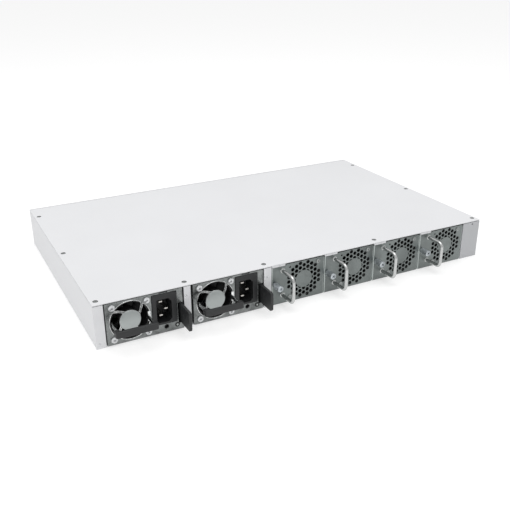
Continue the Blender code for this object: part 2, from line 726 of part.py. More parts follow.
def build_jacks():
    """The console and management jacks, one above the other."""
    mouth = FRONT - PORT_PROUD
    for row, name in enumerate(("console_jack", "management_jack")):
        z = jack_z(row)
        jack = part(name, box(JACK_X, (mouth, mouth + JACK_DEPTH), z), PORT_STEEL)
        wide, high, deep = JACK_HOLE
        centre = sum(JACK_X) / 2
        middle = sum(z) / 2
        cut(jack, box((centre - wide / 2, centre + wide / 2), (mouth - 2, mouth + deep),
                      (middle - high / 2, middle + high / 2)))


def build_usb():
    """The service USB port's metal shell."""
    mouth = FRONT - PORT_PROUD
    z = (CAGE_BOTTOM, CAGE_BOTTOM + USB_HEIGHT)
    port = part("usb_port", box(USB_X, (mouth, mouth + 14), z), PORT_STEEL)
    cut(port, box((USB_X[0] + 0.8, USB_X[1] - 0.8), (mouth - 2, mouth + 12), (z[0] + 0.9, z[1] - 0.9)))


def lamp_places():
    """The X places of the status lamps."""
    step = (LAMP_X[1] - LAMP_X[0]) / (LAMP_COUNT - 1)
    return [LAMP_X[0] + index * step for index in range(LAMP_COUNT)]


def build_status_lamps():
    """A moulded light pipe: a bar behind the panel with one round lens for each lamp."""
    back = FRONT + SHEET + GAP
    bar = box((LAMP_X[0] - 2.5, LAMP_X[1] + 2.5), (back, back + 3), (LAMP_Z - 2.5, LAMP_Z + 2.5))
    pipe = part("status_light_pipe", bar, CLEAR_PLASTIC)
    weld(pipe, together(rod(x, LAMP_Z, 1.1, (FRONT - 0.3, back + 1), 10) for x in lamp_places()))


def build_reset_button():
    """The recessed reset button: a pin through the panel with a collar behind it."""
    x, z = RESET_PLACE
    back = FRONT + SHEET + GAP
    origin = (x, FRONT, z)
    button = part("reset_button", rod(x, z, 1.2, (FRONT - 0.2, back + 3), 12), BLACK_PLASTIC, origin,
                  smooth=True)
    weld(button, rod(x, z, 2.2, (back, back + 1.2), 12))


# Boards and cooling inside

def build_boards():
    """The main board, the power backplane and the fan board."""
    rear_edge = FAN_BOARD_Y - 4
    short_edge = BACKPLANE_Y - 3
    left, right = -SIDE + 5, SIDE - 5
    step = 44.0
    shape = [(left, FRONT + 5), (right, FRONT + 5), (right, short_edge), (step, short_edge),
             (step, rear_edge), (left, rear_edge)]
    part("main_board", outline(shape, "XY", (MAIN_BOARD_Z, BOARD_TOP)), BOARD_GREEN)
    backplane = part("power_backplane", box((50.0, 214.0), (BACKPLANE_Y, BACKPLANE_Y + BOARD), (3.0, 39.0)),
                     BOARD_GREEN)
    card = BAY_FLOOR + PSU_WALL + 1.8 + BOARD / 2
    for centre in PSU_CENTRES_X:
        weld(backplane, box((centre - 23, centre + 23), (BACKPLANE_Y + 1, BACKPLANE_Y + 7.5), (3.4, 10.6)))
        cut(backplane, box((centre - 20.5, centre + 20.5), (BACKPLANE_Y + 3.5, BACKPLANE_Y + 9),
                           (card - 1.3, card + 1.3)))
    fan_board = part("fan_board", box((-194.0, 44.0), (FAN_BOARD_Y, FAN_BOARD_Y + BOARD), (3.0, 18.0)),
                     BOARD_GREEN)
    sockets = [fan_module_edge(index) - 8 for index in range(FAN_COUNT)]
    weld(fan_board, together(box((x - 5, x + 5), (FAN_BOARD_Y + 1, FAN_BOARD_Y + 12), (6.0, 13.0))
                             for x in sockets))


def build_heatsink(name, centre, size, base, top, fins):
    """A finned heatsink with its channels along Y."""
    x = (centre[0] - size / 2, centre[0] + size / 2)
    y = (centre[1] - size / 2, centre[1] + size / 2)
    sink = part(name, box(x, y, (base, top)), SINK_METAL)
    pitch = size / fins
    gaps = [x[0] + (index + 0.5) * pitch for index in range(fins)]
    channel_half = pitch * 0.34
    along = (y[0] - 2, y[1] + 2)
    cut(sink, together(box((gap - channel_half, gap + channel_half), along, (base + 4, top + 2))
                       for gap in gaps))


def build_cooling():
    """The switch chip and the processor with their heatsinks."""
    chip_top = BOARD_TOP + GAP + 3.4
    for name, centre, side in (("switch_chip", CHIP_CENTRE, CHIP_SIDE), ("cpu_chip", CPU_CENTRE, 30.0)):
        half = side / 2
        part(name, box((centre[0] - half, centre[0] + half), (centre[1] - half, centre[1] + half),
                       (BOARD_TOP + GAP, chip_top)), CHIP_METAL)
    build_heatsink("switch_heatsink", CHIP_CENTRE, HEATSINK_SIDE, chip_top + GAP, 39.0, 16)
    build_heatsink("cpu_heatsink", CPU_CENTRE, 50.0, chip_top + GAP, 33.0, 10)


def build_switch():
    """Every sub-part of the switch."""
    build_chassis_tray()
    build_top_cover()
    build_front_panel()
    build_bay_walls()
    for number, centre in enumerate(PSU_CENTRES_X, start=1):
        build_psu(number, centre)
    for index in range(FAN_COUNT):
        build_fan_module(index + 1, fan_module_edge(index))
    for name, centre in zip(("sfp_cage_left", "sfp_cage_right"), SFP_CAGES_X):
        build_cage(name, centre, SFP_COLUMNS, SFP_WIDTH, SFP_DEPTH)
    build_cage("qsfp_cage", QSFP_CAGE_X, 1, QSFP_WIDTH, QSFP_DEPTH)
    build_jacks()
    build_usb()
    build_status_lamps()
    build_reset_button()
    build_boards()
    build_cooling()


clear_scene()
PARTS = new_collection("network_switch")
CUTTERS = new_collection("cutters")
build_switch()
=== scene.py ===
"""The finished look of a one-unit rackmount network switch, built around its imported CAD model.

Shapes are drawn in millimetres in the model's own frame: +Z up, +Y out of the power and fan side.
"""
import math
from collections import namedtuple

import bmesh
import bpy
from mathutils import Matrix, Vector


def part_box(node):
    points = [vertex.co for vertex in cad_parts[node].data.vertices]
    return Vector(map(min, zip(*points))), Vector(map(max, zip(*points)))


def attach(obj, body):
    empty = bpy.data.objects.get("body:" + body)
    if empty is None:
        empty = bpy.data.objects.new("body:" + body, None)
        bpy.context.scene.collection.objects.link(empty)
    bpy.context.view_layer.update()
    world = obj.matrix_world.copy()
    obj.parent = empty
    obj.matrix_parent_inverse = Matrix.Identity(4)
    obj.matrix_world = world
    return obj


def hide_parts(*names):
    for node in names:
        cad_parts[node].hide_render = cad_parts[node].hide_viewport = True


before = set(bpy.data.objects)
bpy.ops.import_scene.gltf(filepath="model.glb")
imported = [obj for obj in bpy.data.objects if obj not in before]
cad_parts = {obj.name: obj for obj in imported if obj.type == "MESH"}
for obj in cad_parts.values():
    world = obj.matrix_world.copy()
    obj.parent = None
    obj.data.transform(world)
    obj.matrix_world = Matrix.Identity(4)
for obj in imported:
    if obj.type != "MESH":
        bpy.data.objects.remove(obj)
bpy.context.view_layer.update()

MM = 0.001

PSUS = ("psu_1", "psu_2")
FANS = ("fan_1", "fan_2", "fan_3", "fan_4")

# The camera, in metres and degrees, and its lens in millimetres
CAMERA_PLACE = (0.33720, 0.66734, 0.32443)
CAMERA_TURN = (66.075, 0.261, 152.628)
CAMERA_LENS = 49.24

# The sky's strength at the horizon and overhead
SKY_STRENGTH = (0.55, 0.85)

# Sheet metal
SHEET = 1.2
COVER_SHEET = 1.0
BEND = 1.3
BURR = 0.12

# The cover's screws: distance from the rear edge and the sides, pitch along the sides, and the places
# of those along the rear edge
COVER_SCREW_REAR = 7.1
COVER_SCREW_SIDE = 5.0
COVER_SCREW_PITCH = 117.0
COVER_REAR_SCREWS_X = (132.4, 50.0, -80.3)

# The rear of the tray: how far it stops short of the fan plates' faces, its inward flanges, the two
# posts between the bays, and the rivets' heights and shift from the middle
TRAY_SETBACK = 1.3
TRAY_FLANGE = 8.5
POSTS_X = {"post_1": (129.2, 135.8), "post_2": (45.1, 53.2)}
RIVET_LEVELS = {"post_1": 33.0, "post_2": 33.0, "corner_flange": 4.6}
RIVET_SHIFT = 1.2

# The fan guard of a power supply
GUARD_AXIS_X = 14.0
GUARD_AXIS_Z = 21.7
GUARD_RADIUS = 19.0
GUARD_HUB = 9.6
GUARD_ARMS = (27.5, 118.0, 208.0, 298.0)
GUARD_SWEEP = 25.0
GUARD_ARM_HALF = 0.84
FAN_SCREW_OFFSET = 16.0

# How many degrees short of its arms' middles a guard opening stops, at the hub and at the rim
PETAL_GAP_HUB = 7.0
PETAL_GAP_RIM = 3.5

# The rotors of all the fans
ROTOR_HUB = 9.0
ROTOR_HUB_EDGE = 0.9
ROTOR_BLADES = 7
BLADE_CHORD = 11.5
BLADE_CAMBER = 1.1
BLADE_THICKNESS = 0.8

# The mains inlet: the cut of its keyed corners, its wall, and each pin's x from the supply's middle, z
# and length
INLET_KEY = 3.0
INLET_WALL = 1.2
INLET_PINS = ((-16.3, 30.5, 10.7), (-16.3, 16.7, 10.7), (-21.2, 23.0, 11.2))

# The latch, lamp and round vent of a power supply, with x from its middle
LATCH_THICKNESS = 2.8
LATCH_TRAVEL = 1.6
LAMP_X = -29.9
LAMP_Z = 5.8
VENT_X = -19.5
VENT_Z = 6.3

# A fan module: its honeycomb, its plate and the tongue above it
FAN_AXIS_INSET = 36.3
FAN_AXIS_Z = 21.9
GRILLE_RADIUS = 18.1
GRILLE_HUB = 9.3
HEX_ACROSS = 3.75
HEX_COLUMN_PITCH = 4.3
HEX_ROW_PITCH = 5.0
PLATE_TOP_GAP = 0.3
FAN_SHEET = 1.0
FAN_FLANGE = 8.0
TONGUE_WIDTH = 15.0
TONGUE_HEIGHT = 1.9
SHANK_HOLE = 1.9
KNOB_LENGTH = 11.7

# The port side: room round a port, intake slots, and the levels and spring fingers of the cages
PORT_ROOM = 0.3
INTAKE_START = 44.0
INTAKE_PITCH = 10.5
INTAKE_COLUMNS = 16
CAGE_WALL = 0.8
CAGE_LEVELS = ((9.2, 18.8), (23.2, 32.8))
FINGER_PITCH = 3.2
CONTACT_PITCH = 1.02
CONTACT_COUNT = 8

Span = namedtuple("Span", "x0 x1 y0 y1 z0 z1")


def span(node):
    """The box of a CAD node at rest, in millimetres."""
    low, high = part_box(node)
    return Span(*(value / MM for pair in zip(low, high) for value in pair))


def middle(low, high):
    """The point halfway between two limits."""
    return (low + high) / 2


def axis_of(s):
    """The middle of a box seen along Y, as (x, z)."""
    return (middle(s.x0, s.x1), middle(s.z0, s.z1))


# Materials

def link(tree, source, target):
    """Join one node's output to another node's input."""
    tree.links.new(source, target)


def object_coordinates(tree, stretch):
    """Object coordinates, stretched along the axes."""
    place = tree.nodes.new("ShaderNodeTexCoord")
    mapping = tree.nodes.new("ShaderNodeMapping")
    mapping.inputs["Scale"].default_value = stretch
    link(tree, place.outputs["Object"], mapping.inputs["Vector"])
    return mapping.outputs["Vector"]


def noise(tree, vector, scale, detail=4.0):
    """A noise texture's value."""
    node = tree.nodes.new("ShaderNodeTexNoise")
    node.inputs["Scale"].default_value = scale
    node.inputs["Detail"].default_value = detail
    node.inputs["Roughness"].default_value = 0.55
    link(tree, vector, node.inputs["Vector"])
    return node.outputs["Fac"]


def spread(tree, value, low, high, source=(0.3, 0.7)):
    """A value mapped from one range to another."""
    node = tree.nodes.new("ShaderNodeMapRange")
    node.inputs["From Min"].default_value = source[0]
    node.inputs["From Max"].default_value = source[1]
    node.inputs["To Min"].default_value = low
    node.inputs["To Max"].default_value = high
    link(tree, value, node.inputs["Value"])
    return node.outputs["Result"]


def blend_colours(tree, factor, first, second):
    """A mix of two colours by a factor."""
    node = tree.nodes.new("ShaderNodeMix")
    node.data_type = "RGBA"
    for socket, value in ((6, first), (7, second)):
        if isinstance(value, tuple):
            node.inputs[socket].default_value = (*value, 1.0)
        else:
            link(tree, value, node.inputs[socket])
    link(tree, factor, node.inputs[0])
    return node.outputs[2]


def bump(tree, height, distance):
    """A bump from a height, with a depth in metres."""
    node = tree.nodes.new("ShaderNodeBump")
    node.inputs["Distance"].default_value = distance
    link(tree, height, node.inputs["Height"])
    return node.outputs["Normal"]


def shaded(colour, amount):
    """A colour made lighter or darker."""
    return tuple(max(0.0, min(1.0, channel * amount)) for channel in colour)


def new_material(name):
    """A new Principled material, with its node tree and its shader."""
    look = bpy.data.materials.new(name)
    look.use_nodes = True
    return look, look.node_tree, look.node_tree.nodes["Principled BSDF"]


def surface(name, colour, roughness, metallic=0.0, mottle=(40.0, 0.08), grain=(900.0, 0.00003),
            stretch=(1.0, 1.0, 1.0), rough_spread=0.08, spangle_and_glint=0.0):
    """A Principled material with mottled colour, uneven roughness and a fine grain.

    mottle is a scale and an amount, grain is a scale and a depth in metres, and the last is the strength of
    the
    zinc crystals: lighter facets in the colour, partly real spangle and partly painted highlights.
    """
    look, tree, shader = new_material(name)
    shader.inputs["Metallic"].default_value = metallic
    vector = object_coordinates(tree, stretch)
    patches = noise(tree, vector, mottle[0])
    tone = blend_colours(tree, spread(tree, patches, 0.0, 1.0),
                         shaded(colour, 1 - mottle[1]), shaded(colour, 1 + mottle[1]))
    # Lighter crystal facets: partly the zinc's real spangle, partly painted highlights
    if spangle_and_glint:
        crystals = tree.nodes.new("ShaderNodeTexVoronoi")
        crystals.inputs["Scale"].default_value = 170.0
        link(tree, vector, crystals.inputs["Vector"])
        facet = tree.nodes.new("ShaderNodeSeparateColor")
        link(tree, crystals.outputs["Color"], facet.inputs["Color"])
        tone = blend_colours(tree, spread(tree, facet.outputs["Red"], 0.0, spangle_and_glint, (0.0, 1.0)),
                             tone, shaded(colour, 1.5))
    link(tree, tone, shader.inputs["Base Color"])
    link(tree, spread(tree, patches, roughness - rough_spread, roughness + rough_spread),
         shader.inputs["Roughness"])
    link(tree, bump(tree, noise(tree, vector, grain[0], 3.0), grain[1]), shader.inputs["Normal"])
    return look


def circuit_board(name):
    """Green solder mask over copper tracks."""
    look, tree, shader = new_material(name)
    shader.inputs["Roughness"].default_value = 0.32
    vector = object_coordinates(tree, (1.0, 1.0, 0.02))
    cells = tree.nodes.new("ShaderNodeTexVoronoi")
    cells.feature = "DISTANCE_TO_EDGE"
    cells.inputs["Scale"].default_value = 140.0
    link(tree, vector, cells.inputs["Vector"])
    tracks = spread(tree, cells.outputs["Distance"], 1.0, 0.0, (0.02, 0.05))
    patches = noise(tree, vector, 60.0)
    mask = blend_colours(tree, spread(tree, patches, 0.0, 1.0), (0.008, 0.09, 0.035), (0.014, 0.13, 0.055))
    link(tree, blend_colours(tree, tracks, mask, (0.03, 0.22, 0.09)), shader.inputs["Base Color"])
    link(tree, bump(tree, tracks, 0.00003), shader.inputs["Normal"])
    return look


def lamp_lens(name, colour):
    """A frosted lens with a faint tint."""
    look = surface(name, colour, 0.25, mottle=(300.0, 0.05), grain=(2500.0, 0.00001))
    shader = look.node_tree.nodes["Principled BSDF"]
    shader.inputs["Transmission Weight"].default_value = 0.25
    return look


LOOKS = {
    "white_paint": surface(
        "white_powder_coat", (0.71, 0.715, 0.73), 0.5, mottle=(14.0, 0.012), grain=(1500.0, 0.00002),
        rough_spread=0.05),
    # The blank panel's white paint in a darker colour: painted shade, as that panel is lit less than the
    # posts
    "white_paint_painted_shade": surface(
        "white_powder_coat_painted_shade", (0.44, 0.448, 0.462), 0.5, mottle=(14.0, 0.02), grain=(1500.0, 0.00002),
        rough_spread=0.05),
    "galvanised": surface(
        "galvanised_sheet", (0.175, 0.193, 0.189), 0.36, 0.85, mottle=(32.0, 0.28), grain=(1400.0, 0.000012),
        rough_spread=0.09, spangle_and_glint=0.15),
    # The fan plates' galvanised steel made lighter for their bent edges: a painted highlight along the bends
    "galvanised_painted_highlight": surface(
        "galvanised_painted_highlight", (0.40, 0.435, 0.425), 0.35, 0.7, mottle=(60.0, 0.12), grain=(1400.0, 0.000012)),
    # Strong mottle and spangle: partly real zinc blotches, partly painted highlights
    "supply_steel": surface(
        "supply_sheet", (0.19, 0.2, 0.198), 0.28, 0.85, mottle=(110.0, 0.5), grain=(420.0, 0.00006),
        rough_spread=0.12, spangle_and_glint=0.5),
    "supply_case": surface(
        "supply_case_sheet", (0.34, 0.35, 0.348), 0.34, 0.85, mottle=(45.0, 0.1), grain=(1400.0, 0.000012),
        spangle_and_glint=0.16),
    "guard_hub": surface(
        "fan_hub_grey", (0.42, 0.45, 0.445), 0.45, 0.5, mottle=(60.0, 0.05), grain=(1800.0, 0.00001),
        rough_spread=0.06),
    "port_steel": surface(
        "cage_sheet", (0.55, 0.55, 0.53), 0.3, 0.95, mottle=(80.0, 0.08), grain=(1600.0, 0.00001),
        spangle_and_glint=0.1),
    "bright_wire": surface(
        "bright_steel_wire", (0.52, 0.53, 0.525), 0.24, 1.0, mottle=(120.0, 0.06), grain=(1500.0, 0.000002),
        rough_spread=0.04),
    # Lighter steel: on the guard rims a painted highlight, as the rims are the face sheet's own edges; on
    # the handle straps the straps' own bright steel
    "rim_highlight_and_strap_steel": surface(
        "guard_rim_highlight_and_strap_steel", (0.60, 0.61, 0.61), 0.2, 1.0, mottle=(300.0, 0.45), grain=(380.0, 0.00012)),
    "nickel": surface(
        "nickel_plate", (0.50, 0.535, 0.56), 0.36, 0.9, mottle=(200.0, 0.1), grain=(2600.0, 0.000006),
        rough_spread=0.07),
    "dull_screw": surface(
        "dull_zinc_screw", (0.30, 0.315, 0.31), 0.35, 0.9, mottle=(400.0, 0.15), grain=(3000.0, 0.000008)),
    "screw": surface(
        "zinc_screw", (0.60, 0.61, 0.62), 0.28, 1.0, mottle=(400.0, 0.12), grain=(3000.0, 0.000008)),
    "black_plastic": surface(
        "black_moulding", (0.014, 0.015, 0.016), 0.5, mottle=(90.0, 0.12), grain=(2200.0, 0.000025),
        rough_spread=0.07),
    "fan_plastic": surface(
        "fan_moulding", (0.012, 0.012, 0.013), 0.55, mottle=(90.0, 0.1), grain=(1800.0, 0.00002),
        rough_spread=0.06),
    "pin": surface(
        "plated_pin", (0.55, 0.53, 0.50), 0.25, 1.0, mottle=(300.0, 0.08), grain=(2500.0, 0.000006)),
    "gold": surface(
        "gold_contact", (0.75, 0.55, 0.22), 0.28, 1.0, mottle=(300.0, 0.08), grain=(2500.0, 0.000006)),
    "board": circuit_board("solder_mask"),
    "chip": surface("chip_lid_metal", (0.45, 0.46, 0.47), 0.3, 0.9, mottle=(120.0, 0.06)),
    "heatsink": surface(
        "heatsink_metal", (0.55, 0.56, 0.57), 0.35, 0.95, mottle=(60.0, 0.06), grain=(1500.0, 0.00001),
        stretch=(3.0, 0.3, 1.0)),
    "lens": lamp_lens("lamp_lens", (0.62, 0.66, 0.64)),
}


# Objects and meshes

def add_object(name, data):
    """A new object in the scene."""
    obj = bpy.data.objects.new(name, data)
    bpy.context.scene.collection.objects.link(obj)
    return obj


def new_mesh(name, bm):
    """A mesh made from a bmesh, which is freed."""
    mesh = bpy.data.meshes.new(name)
    bm.to_mesh(mesh)
    bm.free()
    return mesh


def evaluated(obj):
    """A bmesh of an object as its curve or its modifiers leave it."""
    mesh = bpy.data.meshes.new_from_object(obj.evaluated_get(bpy.context.evaluated_depsgraph_get()))
    bm = bmesh.new()
    bm.from_mesh(mesh)
    bpy.data.meshes.remove(mesh)
    return bm


# Shapes in millimetres, each returned as a bmesh

def block(x, y, z, edge=0.2, steps=2):
    """A block between limits with rounded edges."""
    bm = bmesh.new()
    limits = [sorted(pair) for pair in (x, y, z)]
    centre = Matrix.Translation([middle(*pair) for pair in limits])
    size = Matrix.Diagonal([pair[1] - pair[0] for pair in limits] + [1.0])
    bmesh.ops.create_cube(bm, size=1.0, matrix=centre @ size)
    if edge:
        bmesh.ops.bevel(bm, geom=list(bm.edges), offset=edge, segments=steps, profile=0.5,
                        affect="EDGES", clamp_overlap=True)
    return bm


def turned(centre, axis, profile, sides=48, ripple=None):
    """A turned shape: (radius, height) pairs around an axis through a centre.

    ripple(angle, height) may add to the radius, for a knurl.
    """
    bm = bmesh.new()
    rings = []
    for radius, height in profile:
        if radius <= 0:
            rings.append([bm.verts.new((0.0, 0.0, height))])
            continue
        circle = []
        for index in range(sides):
            angle = math.tau * index / sides
            reach = radius + (ripple(angle, height) if ripple else 0.0)
            circle.append(bm.verts.new((reach * math.cos(angle), reach * math.sin(angle), height)))
        rings.append(circle)
    for low, high in zip(rings, rings[1:]):
        join_rings(bm, low, high)
    for circle, flip in ((rings[0], True), (rings[-1], False)):
        if len(circle) > 1:
            bm.faces.new(circle[::-1] if flip else circle)
    turn = {"Z": Matrix.Identity(4), "Y": Matrix.Rotation(math.radians(-90), 4, "X"),
            "X": Matrix.Rotation(math.radians(90), 4, "Y")}[axis]
    bmesh.ops.transform(bm, matrix=Matrix.Translation(centre) @ turn, verts=bm.verts)
    bmesh.ops.recalc_face_normals(bm, faces=bm.faces)
    return bm


def join_rings(bm, low, high):
    """Faces between two rings of vertices; either may be a single point."""
    count = max(len(low), len(high))
    for index in range(count):
        following = (index + 1) % count
        if len(low) == 1:
            bm.faces.new((low[0], high[following], high[index]))
        elif len(high) == 1:
            bm.faces.new((low[index], low[following], high[0]))
        else:
            bm.faces.new((low[index], low[following], high[following], high[index]))


PLANES = {
    "XY": Matrix.Identity(4),
    "XZ": Matrix.Rotation(math.radians(90), 4, "X"),
    "YZ": Matrix.Rotation(math.radians(90), 4, "Z") @ Matrix.Rotation(math.radians(90), 4, "X"),
}
ACROSS = {"XY": Vector((0, 0, 1)), "XZ": Vector((0, 1, 0)), "YZ": Vector((1, 0, 0))}


def curve_shape(curve, matrix):
    """The mesh of a curve, moved into place, with its caps joined on."""
    guide = add_object("guide", curve)
    bm = evaluated(guide)
    bmesh.ops.remove_doubles(bm, verts=bm.verts, dist=0.0005)
    bmesh.ops.transform(bm, matrix=matrix, verts=bm.verts)
    bpy.data.objects.remove(guide)
    bpy.data.curves.remove(curve)
    return bm


def plate(outlines, plane, limits, edge=BURR, steps=2):
    """A flat sheet between two limits: the first outline is its edge and the others are holes."""
    curve = bpy.data.curves.new("plate", "CURVE")
    curve.dimensions = "2D"
    curve.fill_mode = "BOTH"
    low, high = sorted(limits)
    curve.extrude = (high - low) / 2 - edge
    curve.bevel_depth = edge
    curve.bevel_resolution = steps
    curve.offset = -edge
    for points in outlines:
        spline = curve.splines.new("POLY")
        spline.points.add(len(points) - 1)
        for target, (u, v) in zip(spline.points, points):
            target.co = (u, v, 0.0, 1.0)
        spline.use_cyclic_u = True
    return curve_shape(curve, Matrix.Translation(ACROSS[plane] * middle(low, high)) @ PLANES[plane])


def bar(points, radius, roundness=6):
    """A round bar through a list of points."""
    curve = bpy.data.curves.new("bar", "CURVE")
    curve.dimensions = "3D"
    curve.bevel_depth = radius
    curve.bevel_resolution = roundness
    curve.use_fill_caps = True
    spline = curve.splines.new("POLY")
    spline.points.add(len(points) - 1)
    for target, point in zip(spline.points, points):
        target.co = (*point, 1.0)
    return curve_shape(curve, Matrix.Identity(4))


def together(shapes):
    """Several shapes as one bmesh."""
    whole = bmesh.new()
    for shape in shapes:
        mesh = new_mesh("shape", shape)
        whole.from_mesh(mesh)
        bpy.data.meshes.remove(mesh)
    return whole


def cut(bm, cutter):
    """A shape with another cut out of it."""
    obj, tool = add_object("shape", new_mesh("shape", bm)), add_object("cutter", new_mesh("cutter", cutter))
    modifier = obj.modifiers.new("cut", "BOOLEAN")
    modifier.operation = "DIFFERENCE"
    modifier.object = tool
    bpy.context.view_layer.update()
    result = evaluated(obj)
    for used in (obj, tool):
        data = used.data
        bpy.data.objects.remove(used)
        bpy.data.meshes.remove(data)
    return result


def arc(centre, radius, start, end, steps):
    """Points on an arc, angles in degrees."""
    angles = [math.radians(start + (end - start) * step / steps) for step in range(steps + 1)]
    return [(centre[0] + radius * math.cos(a), centre[1] + radius * math.sin(a)) for a in angles]


def rectangle(u, v, radius=0.0):
    """A rectangle's outline, with rounded corners if a radius is given."""
    points = [(u[0], v[0]), (u[1], v[0]), (u[1], v[1]), (u[0], v[1])]
    return rounded(points, radius) if radius else points


def rounded(points, radius, steps=4):
    """An outline with every corner rounded; radius is one value, or one for each corner."""
    radii = radius if isinstance(radius, (list, tuple)) else [radius] * len(points)
    result = []
    for index, (corner, reach) in enumerate(zip(points, radii)):
        if reach <= 0:
            result.append(tuple(corner))
            continue
        here = Vector(corner)
        back = Vector(points[index - 1]) - here
        ahead = Vector(points[(index + 1) % len(points)]) - here
        half = back.angle(ahead) / 2
        trim = min(reach / math.tan(half), back.length * 0.49, ahead.length * 0.49)
        start, end = here + back.normalized() * trim, here + ahead.normalized() * trim
        for step in range(steps + 1):
            t = step / steps
            point = start * (1 - t) ** 2 + here * 2 * t * (1 - t) + end * t ** 2
            result.append(tuple(point))
    return result


def ring(centre, radius, steps):
    """A circle's outline."""
    return arc(centre, radius, 0.0, 360.0 * (steps - 1) / steps, steps - 1)


def opening(s, room, radius):
    """The outline of an opening round a box, seen along Y."""
    return rectangle((s.x0 - room, s.x1 + room), (s.z0 - room, s.z1 + room), radius)


def soften(points, spacing, passes):
    """A closed outline resampled evenly, with its corners smoothed."""
    loop = [Vector(point) for point in points] + [Vector(points[0])]
    length = sum((b - a).length for a, b in zip(loop, loop[1:]))
    count = max(12, int(length / spacing))
    step, result = length / count, []
    start, leg = 0.0, 0
    for index in range(count):
        target = index * step
        while start + (loop[leg + 1] - loop[leg]).length < target:
            start += (loop[leg + 1] - loop[leg]).length
            leg += 1
        part = (target - start) / (loop[leg + 1] - loop[leg]).length
        result.append(loop[leg].lerp(loop[leg + 1], part))
    for _ in range(passes):
        result = [(result[i - 1] + result[i] * 2 + result[(i + 1) % count]) / 4 for i in range(count)]
    return [tuple(point) for point in result]


# Pieces

def piece(name, bm, look, body, slot="", smooth=35.0, stands_for=()):
    """A finished piece that rides on a body; its slot is worked out but not used."""
    slot = slot or look
    bmesh.ops.scale(bm, vec=(MM, MM, MM), verts=bm.verts)
    bmesh.ops.recalc_face_normals(bm, faces=bm.faces)
    mesh = new_mesh(name, bm)
    mesh.materials.append(LOOKS[look])
    mesh.shade_smooth()
    mesh.set_sharp_from_angle(angle=math.radians(smooth))
    obj = add_object(name, mesh)
    flatten = obj.modifiers.new("flatten", "WEIGHTED_NORMAL")
    flatten.keep_sharp = True
    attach(obj, body)
    if stands_for:
        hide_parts(*stands_for)


def repaint(node, look, edge=0.0):
    """Give a CAD node its finish, and round its edges for the eye."""
    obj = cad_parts[node]
    for material_slot in obj.material_slots:
        material_slot.material = LOOKS[look]
    if edge:
        modifier = obj.modifiers.new("edges", "BEVEL")
        modifier.width = edge * MM
        modifier.segments = 2
        modifier.limit_method = "ANGLE"
        modifier.angle_limit = math.radians(50)


def cross_cutter(size, depth):
    """A tapered cross, for the recess of a screw head; it points down from the origin."""
    arm, half = size, size * 0.24
    points = [(arm, -half), (arm, half), (half, half), (half, arm), (-half, arm), (-half, half),
              (-arm, half), (-arm, -half), (-half, -half), (-half, -arm), (half, -arm), (half, -half)]
    bm = plate([points], "XY", (-depth, depth), 0.0)
    for vert in bm.verts:
        if vert.co.z < 0:
            vert.co.x *= 0.55
            vert.co.y *= 0.55
    return bm


def screw_head(radius, height, crown, recess):
    """A screw head with a rounded crown and a cross recess, standing on the origin along +Z."""
    lip = min(0.25, height * 0.3)
    profile = [(radius * 0.9, -0.4), (radius, 0.0), (radius, height - lip)]
    profile += [(radius - lip * (1 - math.cos(math.radians(a))) - 0.02,
                 height - lip + lip * math.sin(math.radians(a))) for a in (30, 60, 90)]
    profile += [(radius * 0.6, height + crown * 0.7), (radius * 0.25, height + crown)]
    profile += [(0.0, height + crown)]
    head = turned((0, 0, 0), "Z", profile, 32)
    cutter = cross_cutter(radius * recess, height * 0.75 + 0.2)
    bmesh.ops.translate(cutter, vec=(0, 0, height + crown), verts=cutter.verts)
    return cut(head, cutter)


FACING = {"+Y": Matrix.Rotation(math.radians(-90), 4, "X"), "+Z": Matrix.Identity(4)}


def screw(name, place, facing, body, slot, size, spin=0.0, look="screw"):
    """A screw head set on a face; spin turns its recess, in degrees."""
    bm = screw_head(*size)
    turn = FACING[facing] @ Matrix.Rotation(math.radians(spin), 4, "Z")
    bmesh.ops.transform(bm, matrix=Matrix.Translation(place) @ turn, verts=bm.verts)
    piece(name, bm, look, body, slot, smooth=40.0)


# Screw heads: radius, height, crown and the recess's share of the radius
PAN_HEAD = (3.0, 1.3, 0.35, 0.5)
SMALL_PAN_HEAD = (2.2, 0.8, 0.2, 0.5)
FLAT_HEAD = (1.85, 0.1, 0.04, 0.5)


# The case

def build_cover():
    """The cover sheet with pressed countersinks and its nine screws."""
    s = span("top_cover")
    sheet = block((s.x0, s.x1), (s.y0, s.y1), (s.z0, s.z1), 0.3, 3)
    cones = [turned((x, y, s.z1), "Z", [(1.5, -2.0), (1.5, -0.9), (2.45, 0.02), (2.45, 1.0)], 32)
             for x, y in cover_screws(s)]
    piece("cover_sheet", cut(sheet, together(cones)), "white_paint", "chassis", stands_for=("top_cover",))
    for number, (x, y) in enumerate(cover_screws(s), start=1):
        screw(f"cover_screw_{number}", (x, y, s.z1 - 0.3), "+Z", "chassis", "nickel", FLAT_HEAD,
              spin=37.0 * number, look="dull_screw")
        # A black ring in each countersink round the head: painted shade in the gap
        painted_shade_ring = [(1.4, -0.86), (1.55, -0.86), (2.38, -0.02), (2.26, -0.02), (1.4, -0.8)]
        piece(f"cover_screw_{number}_seat", turned((x, y, s.z1), "Z", painted_shade_ring, 32), "fan_plastic", "chassis",
              "nickel")


def cover_screws(s):
    """The places of the cover's screws."""
    rear = s.y1 - COVER_SCREW_REAR
    sides = (s.x1 - COVER_SCREW_SIDE, s.x0 + COVER_SCREW_SIDE)
    places = [(x, rear - COVER_SCREW_PITCH * step) for x in sides for step in range(3)]
    return places + [(x, rear) for x in COVER_REAR_SCREWS_X]


